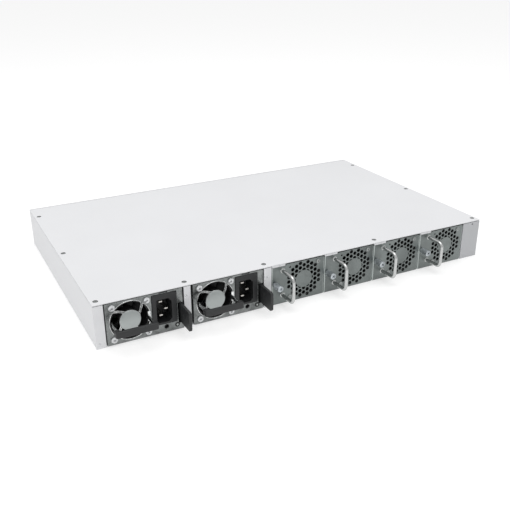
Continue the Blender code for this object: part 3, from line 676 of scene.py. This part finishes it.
def build_tray():
    """The folded tray with bent corners, the corner flange, the rear posts and the blank panel."""
    s = span("chassis_tray")
    cover = span("top_cover")
    top = s.z1
    rear_edge = span("fan_1_plate").y1 - TRAY_SETBACK
    half = [(s.x1, 0.0), (s.x1, top), (s.x1 - TRAY_FLANGE, top), (s.x1 - TRAY_FLANGE, top - SHEET),
            (s.x1 - SHEET, top - SHEET), (s.x1 - SHEET, SHEET)]
    mirrored = [(-x, z) for x, z in reversed(half)]
    bends = [BEND, BEND, 0.0, 0.0, 0.4, 0.4]
    profile = rounded(half + mirrored, bends + bends[::-1])
    piece("case_tray", plate([profile], "XZ", (s.y0, rear_edge), 0.1, 1), "white_paint", "chassis",
          stands_for=("chassis_tray",))
    rear = (rear_edge - 0.3, cover.y1)
    face_top = span("psu_1_face").z1
    corner = (span("psu_1_face").x1 + 1.0, s.x1)
    posts = {"corner_flange": corner, **POSTS_X}
    for name, x in posts.items():
        piece(name, plate([rectangle(x, (0.0, face_top), 0.4)], "XZ", rear, 0.25, 3), "white_paint",
              "chassis")
    rivet = [(1.25, -0.1), (1.2, 0.0), (0.95, 0.12), (0.5, 0.17), (0.0, 0.18)]
    for name, level in RIVET_LEVELS.items():
        place = (middle(*posts[name]) + RIVET_SHIFT, cover.y1, level)
        piece(f"{name}_rivet", turned(place, "Y", rivet, 24), "screw", "chassis", "nickel")
    blank = (s.x0, span("fan_4_plate").x0 - 0.6)
    hole = ring((middle(*blank) - 1.5, face_top - 2.4), 0.9, 20)
    # The blank panel is white paint coloured darker: painted shade
    piece("blank_panel", plate([rectangle(blank, (0.0, face_top), 0.4), hole], "XZ", rear, 0.25, 3),
          "white_paint_painted_shade", "chassis", "white_paint")
    build_tray_tabs(s, rear_edge)


def build_tray_tabs(s, rear_edge):
    """The threaded tabs behind the fan plates and the pale tongues above them."""
    for fan in FANS:
        edge = span(f"{fan}_plate").x1
        hole = ring(axis_of(span(f"{fan}_thumbscrew")), SHANK_HOLE, 24)
        outline = rectangle((edge - 7.0, edge - 0.6), (0.6, 30.0), 0.8)
        piece(f"{fan}_screw_tab", plate([outline, hole], "XZ", (rear_edge - 4.3, rear_edge - 2.9), 0.15),
              "white_paint", "chassis")
        top = s.z1 + 0.2
        tongue = rectangle((edge - TONGUE_WIDTH, edge - 0.3), (top - TONGUE_HEIGHT, top), 0.25)
        hole = ring((edge - 9.0, top - 0.8), 0.4, 16)
        piece(f"{fan}_tongue", plate([tongue, hole], "XZ", (rear_edge - 2.0, rear_edge + 1.25), 0.1),
              "white_paint", "chassis")


# The power supplies

def swirl(radius, start):
    """The angle of a guard arm's middle at a radius, in degrees."""
    share = (radius - GUARD_HUB) / (GUARD_RADIUS - GUARD_HUB)
    return start + GUARD_SWEEP * max(share, 0.0) ** 0.8


def on_guard(centre, radius, angle):
    """A point of the guard; angles run from -X towards +Z."""
    turn = math.radians(angle)
    return (centre[0] - radius * math.cos(turn), centre[1] + radius * math.sin(turn))


def petal(centre, first, second):
    """The opening between two guard arms."""
    radii = [GUARD_HUB + (GUARD_RADIUS - GUARD_HUB) * step / 8 for step in range(9)]

    def side(start, sign):
        return [on_guard(centre, r, swirl(r, start) + sign * math.degrees(GUARD_ARM_HALF / r))
                for r in radii]

    low, high = swirl(GUARD_RADIUS, first) + PETAL_GAP_RIM, swirl(GUARD_RADIUS, second) - PETAL_GAP_RIM
    outer = [on_guard(centre, GUARD_RADIUS, low + (high - low) * step / 20) for step in range(21)]
    low, high = first + PETAL_GAP_HUB, second - PETAL_GAP_HUB
    inner = [on_guard(centre, GUARD_HUB, high + (low - high) * step / 12) for step in range(13)]
    return soften(side(first, 1) + outer + side(second, -1)[::-1] + inner, 0.4, 14)


def build_psu(psu):
    """A power supply: its visible front, its fan's rotor and screws, and the finish of the rest."""
    face = span(f"{psu}_face")
    centre = middle(face.x0, face.x1)
    guard = (centre + GUARD_AXIS_X, GUARD_AXIS_Z)
    build_psu_face(psu, face, centre, guard)
    build_inlet(psu, face)
    build_psu_handle(psu)
    build_latch(psu, face)
    build_lamp(psu, face, centre)
    build_rotor(f"{psu}_rotor")
    for number, (side, level) in enumerate(((-1, -1), (-1, 1), (1, -1), (1, 1)), start=1):
        place = (guard[0] + side * FAN_SCREW_OFFSET, face.y1, guard[1] + level * FAN_SCREW_OFFSET)
        screw(f"{psu}_fan_screw_{number}", place, "+Y", psu, "supply_steel", PAN_HEAD, 20.0 + 31 * number)
    repaint(f"{psu}_case", "supply_case", 0.25)
    repaint(f"{psu}_board", "board")
    repaint(f"{psu}_fan_frame", "fan_plastic", 0.3)


def build_psu_face(psu, face, centre, guard):
    """The pressed face plate with its openings, the guard's rims with a painted highlight, and its hub."""
    inlet, latch = span(f"{psu}_inlet"), span(f"{psu}_latch")
    slot = (latch.z0 - 0.7, latch.z1 + 0.7)
    slot_end = middle(latch.x0, latch.x1) + LATCH_THICKNESS / 2 + LATCH_TRAVEL
    notch = (centre - 22.0, centre - 13.6)
    edge = [(face.x0, face.z0), (face.x1, face.z0), (face.x1, face.z1), (notch[1], face.z1),
            (notch[1], face.z1 - 1.0), (notch[0], face.z1 - 1.0), (notch[0], face.z1), (face.x0, face.z1),
            (face.x0, slot[1]), (slot_end, slot[1]), (slot_end, slot[0]), (face.x0, slot[0])]
    outlines = [rounded(edge, [0.5, 0.5, 0.5, 0.2, 0.2, 0.2, 0.2, 0.5, 0.3, 0.5, 0.5, 0.3])]
    petals = [petal(guard, first, second + (360 if second < first else 0))
              for first, second in zip(GUARD_ARMS, GUARD_ARMS[1:] + GUARD_ARMS[:1])]
    outlines += petals
    for number, points in enumerate(petals, start=1):
        # The rims are the face's steel in a lighter colour: a painted highlight along the opening edges
        rim = [(x, face.y1 - 0.12, z) for x, z in points]
        piece(f"{psu}_guard_rim_{number}", bar(rim + rim[:2], 0.38, 3), "rim_highlight_and_strap_steel", psu, "supply_steel",
              smooth=60.0)
    outlines.append(opening(inlet, 0.25, 1.2))
    outlines.append(ring((centre + VENT_X, VENT_Z), 2.2, 32))
    outlines.append(ring((centre + LAMP_X, LAMP_Z), 1.9, 32))
    piece(f"{psu}_face_plate", plate(outlines, "XZ", (face.y0, face.y1), 0.22, 3), "supply_steel", psu,
          stands_for=(f"{psu}_face",))
    crown = 0.75
    profile = [(GUARD_HUB - 0.6, 0.0), (GUARD_HUB + 0.15, 0.05), (GUARD_HUB + 0.15, 0.35)]
    profile += [(GUARD_HUB - 0.5, crown * 0.8), (GUARD_HUB - 1.6, crown), (GUARD_HUB * 0.5, crown + 0.08),
                (0.0, crown + 0.1)]
    piece(f"{psu}_guard_hub", turned((guard[0], face.y1 - 0.05, guard[1]), "Y", profile, 72), "guard_hub",
          psu, "supply_steel", smooth=50.0)


def build_inlet(psu, face):
    """The mains inlet: rounded flange, keyed socket and three flat pins."""
    s = span(f"{psu}_inlet")
    x = (s.x0 + 5.0, s.x1 - 4.2)
    z = (s.z0 + 1.9, s.z1 - 5.5)
    key_x, key_z = x[0] + INLET_KEY, (z[0] + INLET_KEY, z[1] - INLET_KEY)

    def socket(grow):
        return rounded([(x[1] + grow, z[0] - grow), (x[1] + grow, z[1] + grow), (key_x, z[1] + grow),
                        (x[0] - grow, key_z[1]), (x[0] - grow, key_z[0]), (key_x, z[0] - grow)], 0.8)

    mouth, wall = socket(0.0), socket(INLET_WALL)
    flange = rounded([(s.x0, s.z0), (s.x1, s.z0), (s.x1, s.z1), (s.x0, s.z1)], [0.8, 0.8, 0.8, 2.4])
    front = plate([flange, mouth], "XZ", (s.y1 - 2.2, s.y1), 0.35, 3)
    tunnel = plate([wall, mouth], "XZ", (s.y0 + 2.0, s.y1 - 1.0), 0.1)
    back = plate([wall], "XZ", (s.y0, s.y0 + 2.6), 0.1)
    piece(f"{psu}_inlet_moulding", together([front, tunnel, back]), "black_plastic", psu,
          stands_for=(f"{psu}_inlet",))
    floor = s.y0 + 2.5
    centre = middle(face.x0, face.x1)
    for number, (px, pz, length) in enumerate(INLET_PINS, start=1):
        blade = block((centre + px - 2.0, centre + px + 2.0), (floor, floor + length), (pz - 1.0, pz + 1.0),
                      0.35, 3)
        for vert in blade.verts:
            if vert.co.y > floor + length - 0.6:
                vert.co.x = centre + px + (vert.co.x - centre - px) * 0.86
                vert.co.z = pz + (vert.co.z - pz) * 0.8
        piece(f"{psu}_inlet_pin_{number}", blade, "pin", psu, "bright_wire")


def staple(s, root, arm, across):
    """A staple's outline seen from above: two arms, and the stretch across their ends."""
    return [(s.x0, root), (s.x0 + arm, root), (s.x0 + arm, s.y1 - across), (s.x1 - arm, s.y1 - across),
            (s.x1 - arm, root), (s.x1, root), (s.x1, s.y1), (s.x0, s.y1)]


def build_psu_handle(psu):
    """The pull handle: a bright bent strap and a moulded grip."""
    strap, grip = span(f"{psu}_handle"), span(f"{psu}_grip")
    thick = 1.2
    outline = rounded(staple(strap, strap.y0, thick, thick), [0.0, 0.0, 0.8, 0.8, 0.0, 0.0, 1.6, 1.6])
    arms = plate([outline], "XY", (strap.z0 + 0.3, strap.z1), 0.35, 3)
    foot = block((strap.x0 - 2.4, strap.x0 + 0.4), (strap.y0 - 0.25, strap.y0 + 0.7),
                 (strap.z0 - 3.0, strap.z1 + 2.4), 0.4, 3)
    piece(f"{psu}_handle_strap", together([arms, foot]), "rim_highlight_and_strap_steel", psu, "bright_wire",
          stands_for=(f"{psu}_handle",))
    outline = rounded(staple(grip, grip.y0 + 2.5, 4.8, 3.4), [0.8, 0.8, 1.6, 1.6, 0.8, 0.8, 2.2, 2.2])
    piece(f"{psu}_handle_grip", plate([outline], "XY", (grip.z0, grip.z1), 0.9, 4), "black_plastic", psu,
          stands_for=(f"{psu}_grip",))


def build_latch(psu, face):
    """The release latch: a black tab with rounded corners and an oval thumb mark."""
    s = span(f"{psu}_latch")
    hinge = 1.7
    tab = [(s.y0 + hinge, s.z0), (s.y1, s.z0), (s.y1, s.z1), (s.y0 + hinge, s.z1)]
    outline = rounded(tab, [0.6, 2.6, 2.6, 0.6], 6)
    axis = middle(s.x0, s.x1)
    x = (axis - LATCH_THICKNESS / 2, axis + LATCH_THICKNESS / 2)
    blade = plate([outline], "YZ", x, 0.45, 3)
    barrel = turned((axis, s.y0 + hinge, 0.0), "Z", [(1.5, s.z0 + 0.3), (1.68, s.z0 + 0.5),
                                                     (1.68, s.z1 - 0.5), (1.5, s.z1 - 0.3)], 24)
    level = middle(s.z0, s.z1) + 1.0
    mark = turned((x[1] - 0.1, face.y1 + 7.0, level), "X",
                  [(1.5, 0.0), (1.35, 0.22), (1.0, 0.3), (0.0, 0.34)], 32)
    for vert in mark.verts:
        vert.co.z = level + (vert.co.z - level) * 1.45
    body = f"{psu}_latch"
    piece(f"{psu}_latch_tab", together([blade, barrel]), "black_plastic", body, stands_for=(f"{psu}_latch",))
    piece(f"{psu}_latch_mark", mark, "black_plastic", body, smooth=60.0)


def build_lamp(psu, face, centre):
    """The status lamp: a black collar round a pale lens, and the dark well of the vent beside it."""
    x, z = centre + LAMP_X, LAMP_Z
    collar = [(1.8, -1.6), (1.8, 0.02), (2.25, 0.05), (2.3, 0.3), (2.05, 0.6), (1.3, 0.6), (1.15, 0.3),
              (1.15, -1.6)]
    piece(f"{psu}_lamp_collar", turned((x, face.y1, z), "Y", collar, 40), "fan_plastic", psu,
          "black_plastic")
    lens = [(1.1, -1.4), (1.1, 0.2), (0.95, 0.5), (0.5, 0.68), (0.0, 0.72)]
    piece(f"{psu}_lamp_lens", turned((x, face.y1, z), "Y", lens, 32), "lens", psu, "light_pipe")
    well = [(2.15, -4.0), (2.15, -0.6), (1.95, -0.4), (1.75, -0.6), (1.75, -3.0), (0.0, -3.0)]
    piece(f"{psu}_vent_well", turned((centre + VENT_X, face.y1, VENT_Z), "Y", well, 32), "fan_plastic", psu,
          "black_plastic")


def build_rotor(node):
    """A fan rotor: a hub cup with a rounded rim, and twisted, cambered blades."""
    s = span(node)
    centre = axis_of(s)
    tip = max(s.x1 - s.x0, s.z1 - s.z0) / 2 - 0.3
    hub, edge, back, front = ROTOR_HUB, ROTOR_HUB_EDGE, s.y0 + 2.3, s.y1
    profile = [(hub, back - front), (hub, -edge), (hub - edge * 0.3, -edge * 0.3), (hub - edge, 0.0),
               (0.0, 0.0)]
    cup = turned((centre[0], front, centre[1]), "Y", [(0.0, back - front), *profile], 48)
    blades = [rotor_blade(centre, middle(back, front), hub - 0.4, tip, math.tau * number / ROTOR_BLADES)
              for number in range(ROTOR_BLADES)]
    piece(f"{node}_visual", together([cup, *blades]), "fan_plastic", node, smooth=40.0, stands_for=(node,))


def rotor_blade(centre, y, root, tip, angle):
    """One blade: a thin cambered sheet whose pitch falls from root to tip."""
    bm = bmesh.new()
    rows, columns = 7, 9
    sheets = []
    for side in (-0.5, 0.5):
        grid = []
        for row in range(rows):
            radius = root + (tip - root) * row / (rows - 1)
            pitch = math.radians(50 - 18 * row / (rows - 1))
            line = []
            for column in range(columns):
                along = (column / (columns - 1) - 0.5) * BLADE_CHORD
                camber = BLADE_CAMBER * (1 - (along / (BLADE_CHORD / 2)) ** 2)
                lift = camber + side * BLADE_THICKNESS
                around = along * math.cos(pitch) - lift * math.sin(pitch)
                depth = along * math.sin(pitch) + lift * math.cos(pitch)
                turn = angle + around / radius
                line.append(bm.verts.new((centre[0] + radius * math.cos(turn), y + depth,
                                          centre[1] + radius * math.sin(turn))))
            grid.append(line)
        sheets.append(grid)
    for grid in sheets:
        for row in range(rows - 1):
            for column in range(columns - 1):
                bm.faces.new((grid[row][column], grid[row][column + 1], grid[row + 1][column + 1],
                              grid[row + 1][column]))
    border = [[(row, 0) for row in range(rows)], [(row, columns - 1) for row in range(rows)],
              [(0, column) for column in range(columns)], [(rows - 1, column) for column in range(columns)]]
    for line in border:
        for (r0, c0), (r1, c1) in zip(line, line[1:]):
            bm.faces.new((sheets[0][r0][c0], sheets[0][r1][c1], sheets[1][r1][c1], sheets[1][r0][c0]))
    bmesh.ops.recalc_face_normals(bm, faces=bm.faces)
    return bm


# The fan modules

def hexagon(centre, hub):
    """A honeycomb opening; where it would run into the blank centre it follows the centre's edge."""
    radius = HEX_ACROSS / math.sqrt(3)
    corners = [Vector((centre[0] + radius * math.cos(math.radians(60 * k)),
                       centre[1] + radius * math.sin(math.radians(60 * k)))) for k in range(6)]
    points = rounded([tuple(corner) for corner in corners], 0.35, 2)
    blank = Vector(hub)
    if (Vector(centre) - blank).length > GRILLE_HUB + radius:
        return points
    fine = []
    for a, b in zip(points, points[1:] + points[:1]):
        fine += [tuple(Vector(a).lerp(Vector(b), step / 4)) for step in range(4)]
    clipped = []
    for point in fine:
        offset = Vector(point) - blank
        if offset.length < GRILLE_HUB:
            offset = offset.normalized() * GRILLE_HUB
        clipped.append(tuple(blank + offset))
    return soften(clipped, 0.3, 1)


def honeycomb(hub):
    """Every opening of a fan plate's grille."""
    holes = []
    for column in range(-4, 5):
        for row in range(-4, 5):
            u = column * HEX_COLUMN_PITCH
            v = (row + 0.5 * (column % 2)) * HEX_ROW_PITCH
            if GRILLE_HUB - 0.8 < math.hypot(u, v) <= GRILLE_RADIUS:
                holes.append(hexagon((hub[0] + u, hub[1] + v), hub))
    return holes


def build_fan_module(fan):
    """A fan module's plate, handle, thumbscrew, screws and rotor."""
    s = span(f"{fan}_plate")
    face = span("psu_1_face").y1
    hub = (s.x1 - FAN_AXIS_INSET, FAN_AXIS_Z)
    knob, wire = span(f"{fan}_thumbscrew"), span(f"{fan}_handle")
    top = s.z1 - PLATE_TOP_GAP
    side = 1.1
    notch = (s.x1 - TONGUE_WIDTH - 0.5, span("chassis_tray").z1 - TONGUE_HEIGHT)
    flat = [(s.x0 + side, s.z0), (s.x1 - side, s.z0), (s.x1 - side, notch[1]), notch, (notch[0], top),
            (s.x0 + side, top)]
    wire_x = middle(wire.x0, wire.x1)
    wire_radius = (wire.x1 - wire.x0) / 2
    roots = (wire.z0 + wire_radius, wire.z1 - wire_radius)
    holes = honeycomb(hub)
    holes.append(ring(axis_of(knob), SHANK_HOLE, 28))
    holes += [ring((wire_x, z), wire_radius + 0.15, 28) for z in roots]
    holes.append(ring((hub[0] + FAN_SCREW_OFFSET, hub[1] + FAN_SCREW_OFFSET), 0.9, 20))
    sheet = plate([flat, *holes], "XZ", (face - FAN_SHEET, face), 0.08, 2)
    piece(f"{fan}_face_plate", sheet, "galvanised", fan, "galvanised_steel", stands_for=(f"{fan}_plate",))
    # The bent edges are painted lighter than the plate: a painted highlight
    piece(f"{fan}_folded_edges", together(bent_edges(s, face, side, notch[1])), "galvanised_painted_highlight", fan,
          "galvanised_steel")
    for number, (u, v) in enumerate(((-1, 1), (1, -1)), start=1):
        place = (hub[0] + u * FAN_SCREW_OFFSET, face - 0.05, hub[1] + v * FAN_SCREW_OFFSET)
        screw(f"{fan}_fan_screw_{number}", place, "+Y", fan, "nickel", SMALL_PAN_HEAD, 25.0 * number,
              look="dull_screw")
    build_wire_handle(fan, wire, roots, wire_x, wire_radius, face)
    build_thumbscrew(fan, knob)
    build_rotor(f"{fan}_rotor")
    repaint(f"{fan}_fan_frame", "fan_plastic", 0.3)


def bent_edges(s, face, side, top):
    """The plate's two upright edges, bent back round a small radius into flanges."""
    shapes = []
    back = face - FAN_FLANGE
    for low, sign in ((s.x0, 1), (s.x1, -1)):
        centre = (low + sign * side, face - side)
        start, end = (180, 90) if sign > 0 else (0, 90)
        outer = arc(centre, side, start, end, 6)
        inner = arc(centre, side - FAN_SHEET, end, start, 6)
        profile = [(low, back), *outer, *inner, (low + sign * FAN_SHEET, back)]
        shapes.append(plate([profile], "XY", (s.z0, top), 0.05, 1))
    return shapes


def build_wire_handle(fan, wire, roots, x, radius, face):
    """The bent-wire pull handle with rolled collars where it leaves the plate."""
    outer = wire.y1 - radius
    bend = 5.2
    root = face - 2.4
    path = [(root, roots[0]), *arc((outer - bend, roots[0] + bend), bend, -90, 0, 12)]
    path += [*arc((outer - bend, roots[1] - bend), bend, 0, 90, 12), (root, roots[1])]
    shape = bar([(x, y, z) for y, z in path], radius, 8)
    collar = [(radius + 0.05, -0.2), (radius + 0.75, -0.1), (radius + 0.8, 0.15), (radius + 0.45, 0.4),
              (radius - 0.1, 0.5)]
    collars = [turned((x, face, z), "Y", collar, 32) for z in roots]
    piece(f"{fan}_wire_handle", together([shape, *collars]), "bright_wire", fan, smooth=60.0,
          stands_for=(f"{fan}_handle",))


def build_thumbscrew(fan, s):
    """The captive thumbscrew: a knurled barrel with a cross-slotted end, a neck and a shank."""
    centre = axis_of(s)
    radius = (s.x1 - s.x0) / 2
    length = KNOB_LENGTH
    base = s.y1 - length
    knurl = (3.0, length - 1.6)

    def teeth(angle, height):
        if not knurl[0] < height < knurl[1]:
            return 0.0
        return -0.09 * (1 + math.cos(angle * 26))

    profile = [(radius - 0.9, 0.0), (radius - 0.55, 0.25), (radius - 0.55, 2.2), (radius - 0.3, 2.6),
               (radius - 0.05, 2.95), (radius - 0.02, 3.05), (radius - 0.02, length - 1.65),
               (radius - 0.05, length - 1.55), (radius - 0.05, length - 0.5), (radius - 0.5, length - 0.08),
               (radius - 1.1, length), (0.0, length)]
    barrel = turned((centre[0], base, centre[1]), "Y", [(0.0, 0.0), *profile], 156, teeth)
    recess = cross_cutter(radius * 0.62, 1.5)
    turn = Matrix.Translation((centre[0], s.y1, centre[1])) @ FACING["+Y"]
    bmesh.ops.transform(recess, matrix=turn @ Matrix.Rotation(math.radians(35), 4, "Z"), verts=recess.verts)
    shank = turned((centre[0], s.y0, centre[1]), "Y", thread_profile(base - s.y0 + 0.5), 24)
    piece(f"{fan}_knob", together([cut(barrel, recess), shank]), "nickel", f"{fan}_thumbscrew", smooth=30.0,
          stands_for=(f"{fan}_thumbscrew",))


def thread_profile(length):
    """A shank with ring-shaped thread crests near its tip."""
    profile, height = [(0.0, 0.0), (1.0, 0.0)], 0.3
    while height < min(length - 1.0, 5.0):
        profile += [(1.45, height), (1.2, height + 0.25)]
        height += 0.5
    return profile + [(1.45, height), (1.45, length)]


# The port side

def build_front():
    """The port panel with its openings, cages, jacks, lamps and intake slots."""
    s = span("front_panel")
    ports = [span(node) for node in ("sfp_cage_left", "sfp_cage_right", "qsfp_cage", "usb_port")]
    ports.append(span("console_jack")._replace(z1=span("management_jack").z1))
    holes = [opening(port, PORT_ROOM, 0.4) for port in ports]
    pipe = span("status_light_pipe")
    lamps = [pipe.x0 + 2.5 + (pipe.x1 - pipe.x0 - 5.0) * index / 3 for index in range(4)]
    lamp_z = middle(pipe.z0, pipe.z1)
    holes += [ring((x, lamp_z), 1.3, 24) for x in lamps]
    holes.append(ring(axis_of(span("reset_button")), 1.6, 24))
    columns = [INTAKE_START + INTAKE_PITCH * index for index in range(INTAKE_COLUMNS)]
    holes += [rectangle((x - 3.0, x + 3.0), (z - 6.0, z + 6.0), 2.4) for x in columns for z in (14.0, 30.0)]
    outline = rectangle((s.x0, s.x1), (s.z0, s.z1), 0.4)
    front = plate([outline, *holes], "XZ", (s.y0, s.y0 + SHEET), 0.2, 2)
    lip = block((s.x0, s.x1), (s.y0 + 0.2, s.y1), (s.z1 - COVER_SHEET, s.z1), 0.25, 3)
    piece("port_panel", together([front, lip]), "white_paint", "chassis", stands_for=("front_panel",))
    strip = block((pipe.x0, pipe.x1), (pipe.y0 + 1.8, pipe.y1), (pipe.z0, pipe.z1), 0.4)
    tip = [(0.0, 0.0), (0.7, 0.05), (1.1, 0.4), (1.1, 3.0)]
    tips = [turned((x, pipe.y0, lamp_z), "Y", tip, 24) for x in lamps]
    piece("light_pipe", together([strip, *tips]), "lens", "chassis", "light_pipe",
          stands_for=("status_light_pipe",))
    repaint("reset_button", "black_plastic", 0.15)
    build_cages()
    build_jacks()


def build_cages():
    """Steel port cages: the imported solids, with spring fingers round each mouth."""
    for node, columns, width in (("sfp_cage_left", 4, 13.8), ("sfp_cage_right", 4, 13.8),
                                 ("qsfp_cage", 1, 18.8)):
        repaint(node, "port_steel", 0.12)
        s = span(node)
        fingers = []
        for column in range(columns):
            left = s.x0 + CAGE_WALL + column * (width + CAGE_WALL)
            for floor, ceiling in CAGE_LEVELS:
                count = int(width // FINGER_PITCH)
                for index in range(count):
                    x = left + (index + 0.5) * width / count
                    fingers.append(spring_finger(x, s.y0, floor, 1))
                    fingers.append(spring_finger(x, s.y0, ceiling, -1))
        piece(f"{node}_fingers", together(fingers), "pin", "chassis", "port_steel")


def spring_finger(x, mouth, level, up):
    """A thin curved spring finger on the floor or the ceiling of a port."""
    section = [(mouth + 0.3, 0.05), (mouth + 2.0, 0.5), (mouth + 4.0, 0.55), (mouth + 6.0, 0.08)]
    points = [(y, level + up * height) for y, height in section]
    points += [(y, level + up * (height + 0.12)) for y, height in reversed(section)]
    return plate([points], "YZ", (x - 0.9, x + 0.9), 0.0)


def build_jacks():
    """The two network jacks and the service port, with contacts and tongue."""
    for node in ("console_jack", "management_jack"):
        repaint(node, "port_steel", 0.2)
        s = span(node)
        centre, level = axis_of(s)
        bends = [(s.y0 + 12.6, level + 3.9), (s.y0 + 5.0, level + 3.2), (s.y0 + 9.5, level + 0.6),
                 (s.y0 + 12.6, level + 0.9)]
        first = centre - CONTACT_PITCH * (CONTACT_COUNT - 1) / 2
        places = [first + CONTACT_PITCH * number for number in range(CONTACT_COUNT)]
        wires = [bar([(x, y, z) for y, z in bends], 0.2, 2) for x in places]
        piece(f"{node}_contacts", together(wires), "gold", "chassis", "port_steel", smooth=60.0)
        liner = plate([rectangle((centre - 5.95, centre + 5.95), (level - 4.25, level + 4.25), 0.2),
                       rectangle((centre - 5.5, centre + 5.5), (level - 3.8, level + 3.8), 0.2)],
                      "XZ", (s.y0 + 0.4, s.y0 + 12.8), 0.05, 1)
        piece(f"{node}_liner", liner, "black_plastic", "chassis")
    repaint("usb_port", "port_steel", 0.12)
    s = span("usb_port")
    level = middle(s.z0, s.z1)
    tongue = block((s.x0 + 1.6, s.x1 - 1.6), (s.y0 + 2.0, s.y0 + 12.0), (level - 0.2, level + 1.4), 0.2)
    piece("usb_tongue", tongue, "black_plastic", "chassis")


def paint_the_inside():
    """Finishes of the parts inside the case."""
    finishes = {"galvanised": (0.2, "psu_bay_divider", "fan_bay_divider", "fan_bay_end_wall"),
                "board": (0.0, "main_board", "power_backplane", "fan_board"),
                "chip": (0.3, "switch_chip", "cpu_chip"),
                "heatsink": (0.1, "switch_heatsink", "cpu_heatsink")}
    for look, (edge, *nodes) in finishes.items():
        for node in nodes:
            repaint(node, look, edge)


# The studio

def build_floor():
    """A plain pale floor that glows a little, as a lit sweep does."""
    bm = bmesh.new()
    bmesh.ops.create_grid(bm, x_segments=8, y_segments=8, size=40.0)
    mesh = new_mesh("floor", bm)
    floor = add_object("floor", mesh)
    floor.location.z = -0.0002
    look, _, shader = new_material("floor")
    shader.inputs["Base Color"].default_value = (0.6, 0.6, 0.6, 1.0)
    shader.inputs["Roughness"].default_value = 0.9
    shader.inputs["Specular IOR Level"].default_value = 0.0
    shader.inputs["Emission Color"].default_value = (1.0, 1.0, 1.0, 1.0)
    shader.inputs["Emission Strength"].default_value = 0.46
    mesh.materials.append(look)


def area_light(name, place, target, size, power):
    """A soft rectangular light aimed at a point."""
    data = bpy.data.lights.new(name, "AREA")
    data.shape = "RECTANGLE"
    data.size, data.size_y = size
    data.energy = power
    light = add_object(name, data)
    light.location = place
    light.rotation_euler = (Vector(target) - Vector(place)).to_track_quat("-Z", "Y").to_euler()


def build_studio():
    """Soft surroundings, dim near the horizon and white overhead, and two large soft lights."""
    world = bpy.data.worlds.new("studio")
    bpy.context.scene.world = world
    world.use_nodes = True
    tree = world.node_tree
    sky = tree.nodes["Background"]
    sky.inputs["Color"].default_value = (1.0, 1.0, 1.0, 1.0)
    place = tree.nodes.new("ShaderNodeTexCoord")
    height = tree.nodes.new("ShaderNodeSeparateXYZ")
    link(tree, place.outputs["Generated"], height.inputs["Vector"])
    link(tree, spread(tree, height.outputs["Z"], *SKY_STRENGTH, (-0.1, 0.9)), sky.inputs["Strength"])
    area_light("overhead", (0.1, 0.2, 1.6), (0.0, 0.0, 0.0), (1.6, 1.2), 12.0)
    area_light("side", (0.9, 1.1, 0.8), (0.0, 0.1, 0.0), (0.5, 0.5), 0.4)
    view = bpy.context.scene.view_settings
    view.view_transform = "Standard"
    view.look = "None"


def build_camera():
    """The camera at the reference viewpoint."""
    data = bpy.data.cameras.new("camera")
    data.sensor_width = 36.0
    data.lens = CAMERA_LENS
    camera = add_object("camera", data)
    camera.location = CAMERA_PLACE
    camera.rotation_euler = [math.radians(angle) for angle in CAMERA_TURN]
    bpy.context.scene.camera = camera


def build():
    """Everything the camera sees."""
    build_camera()
    build_studio()
    build_floor()
    build_cover()
    build_tray()
    for psu in PSUS:
        build_psu(psu)
    for fan in FANS:
        build_fan_module(fan)
    build_front()
    paint_the_inside()


build()
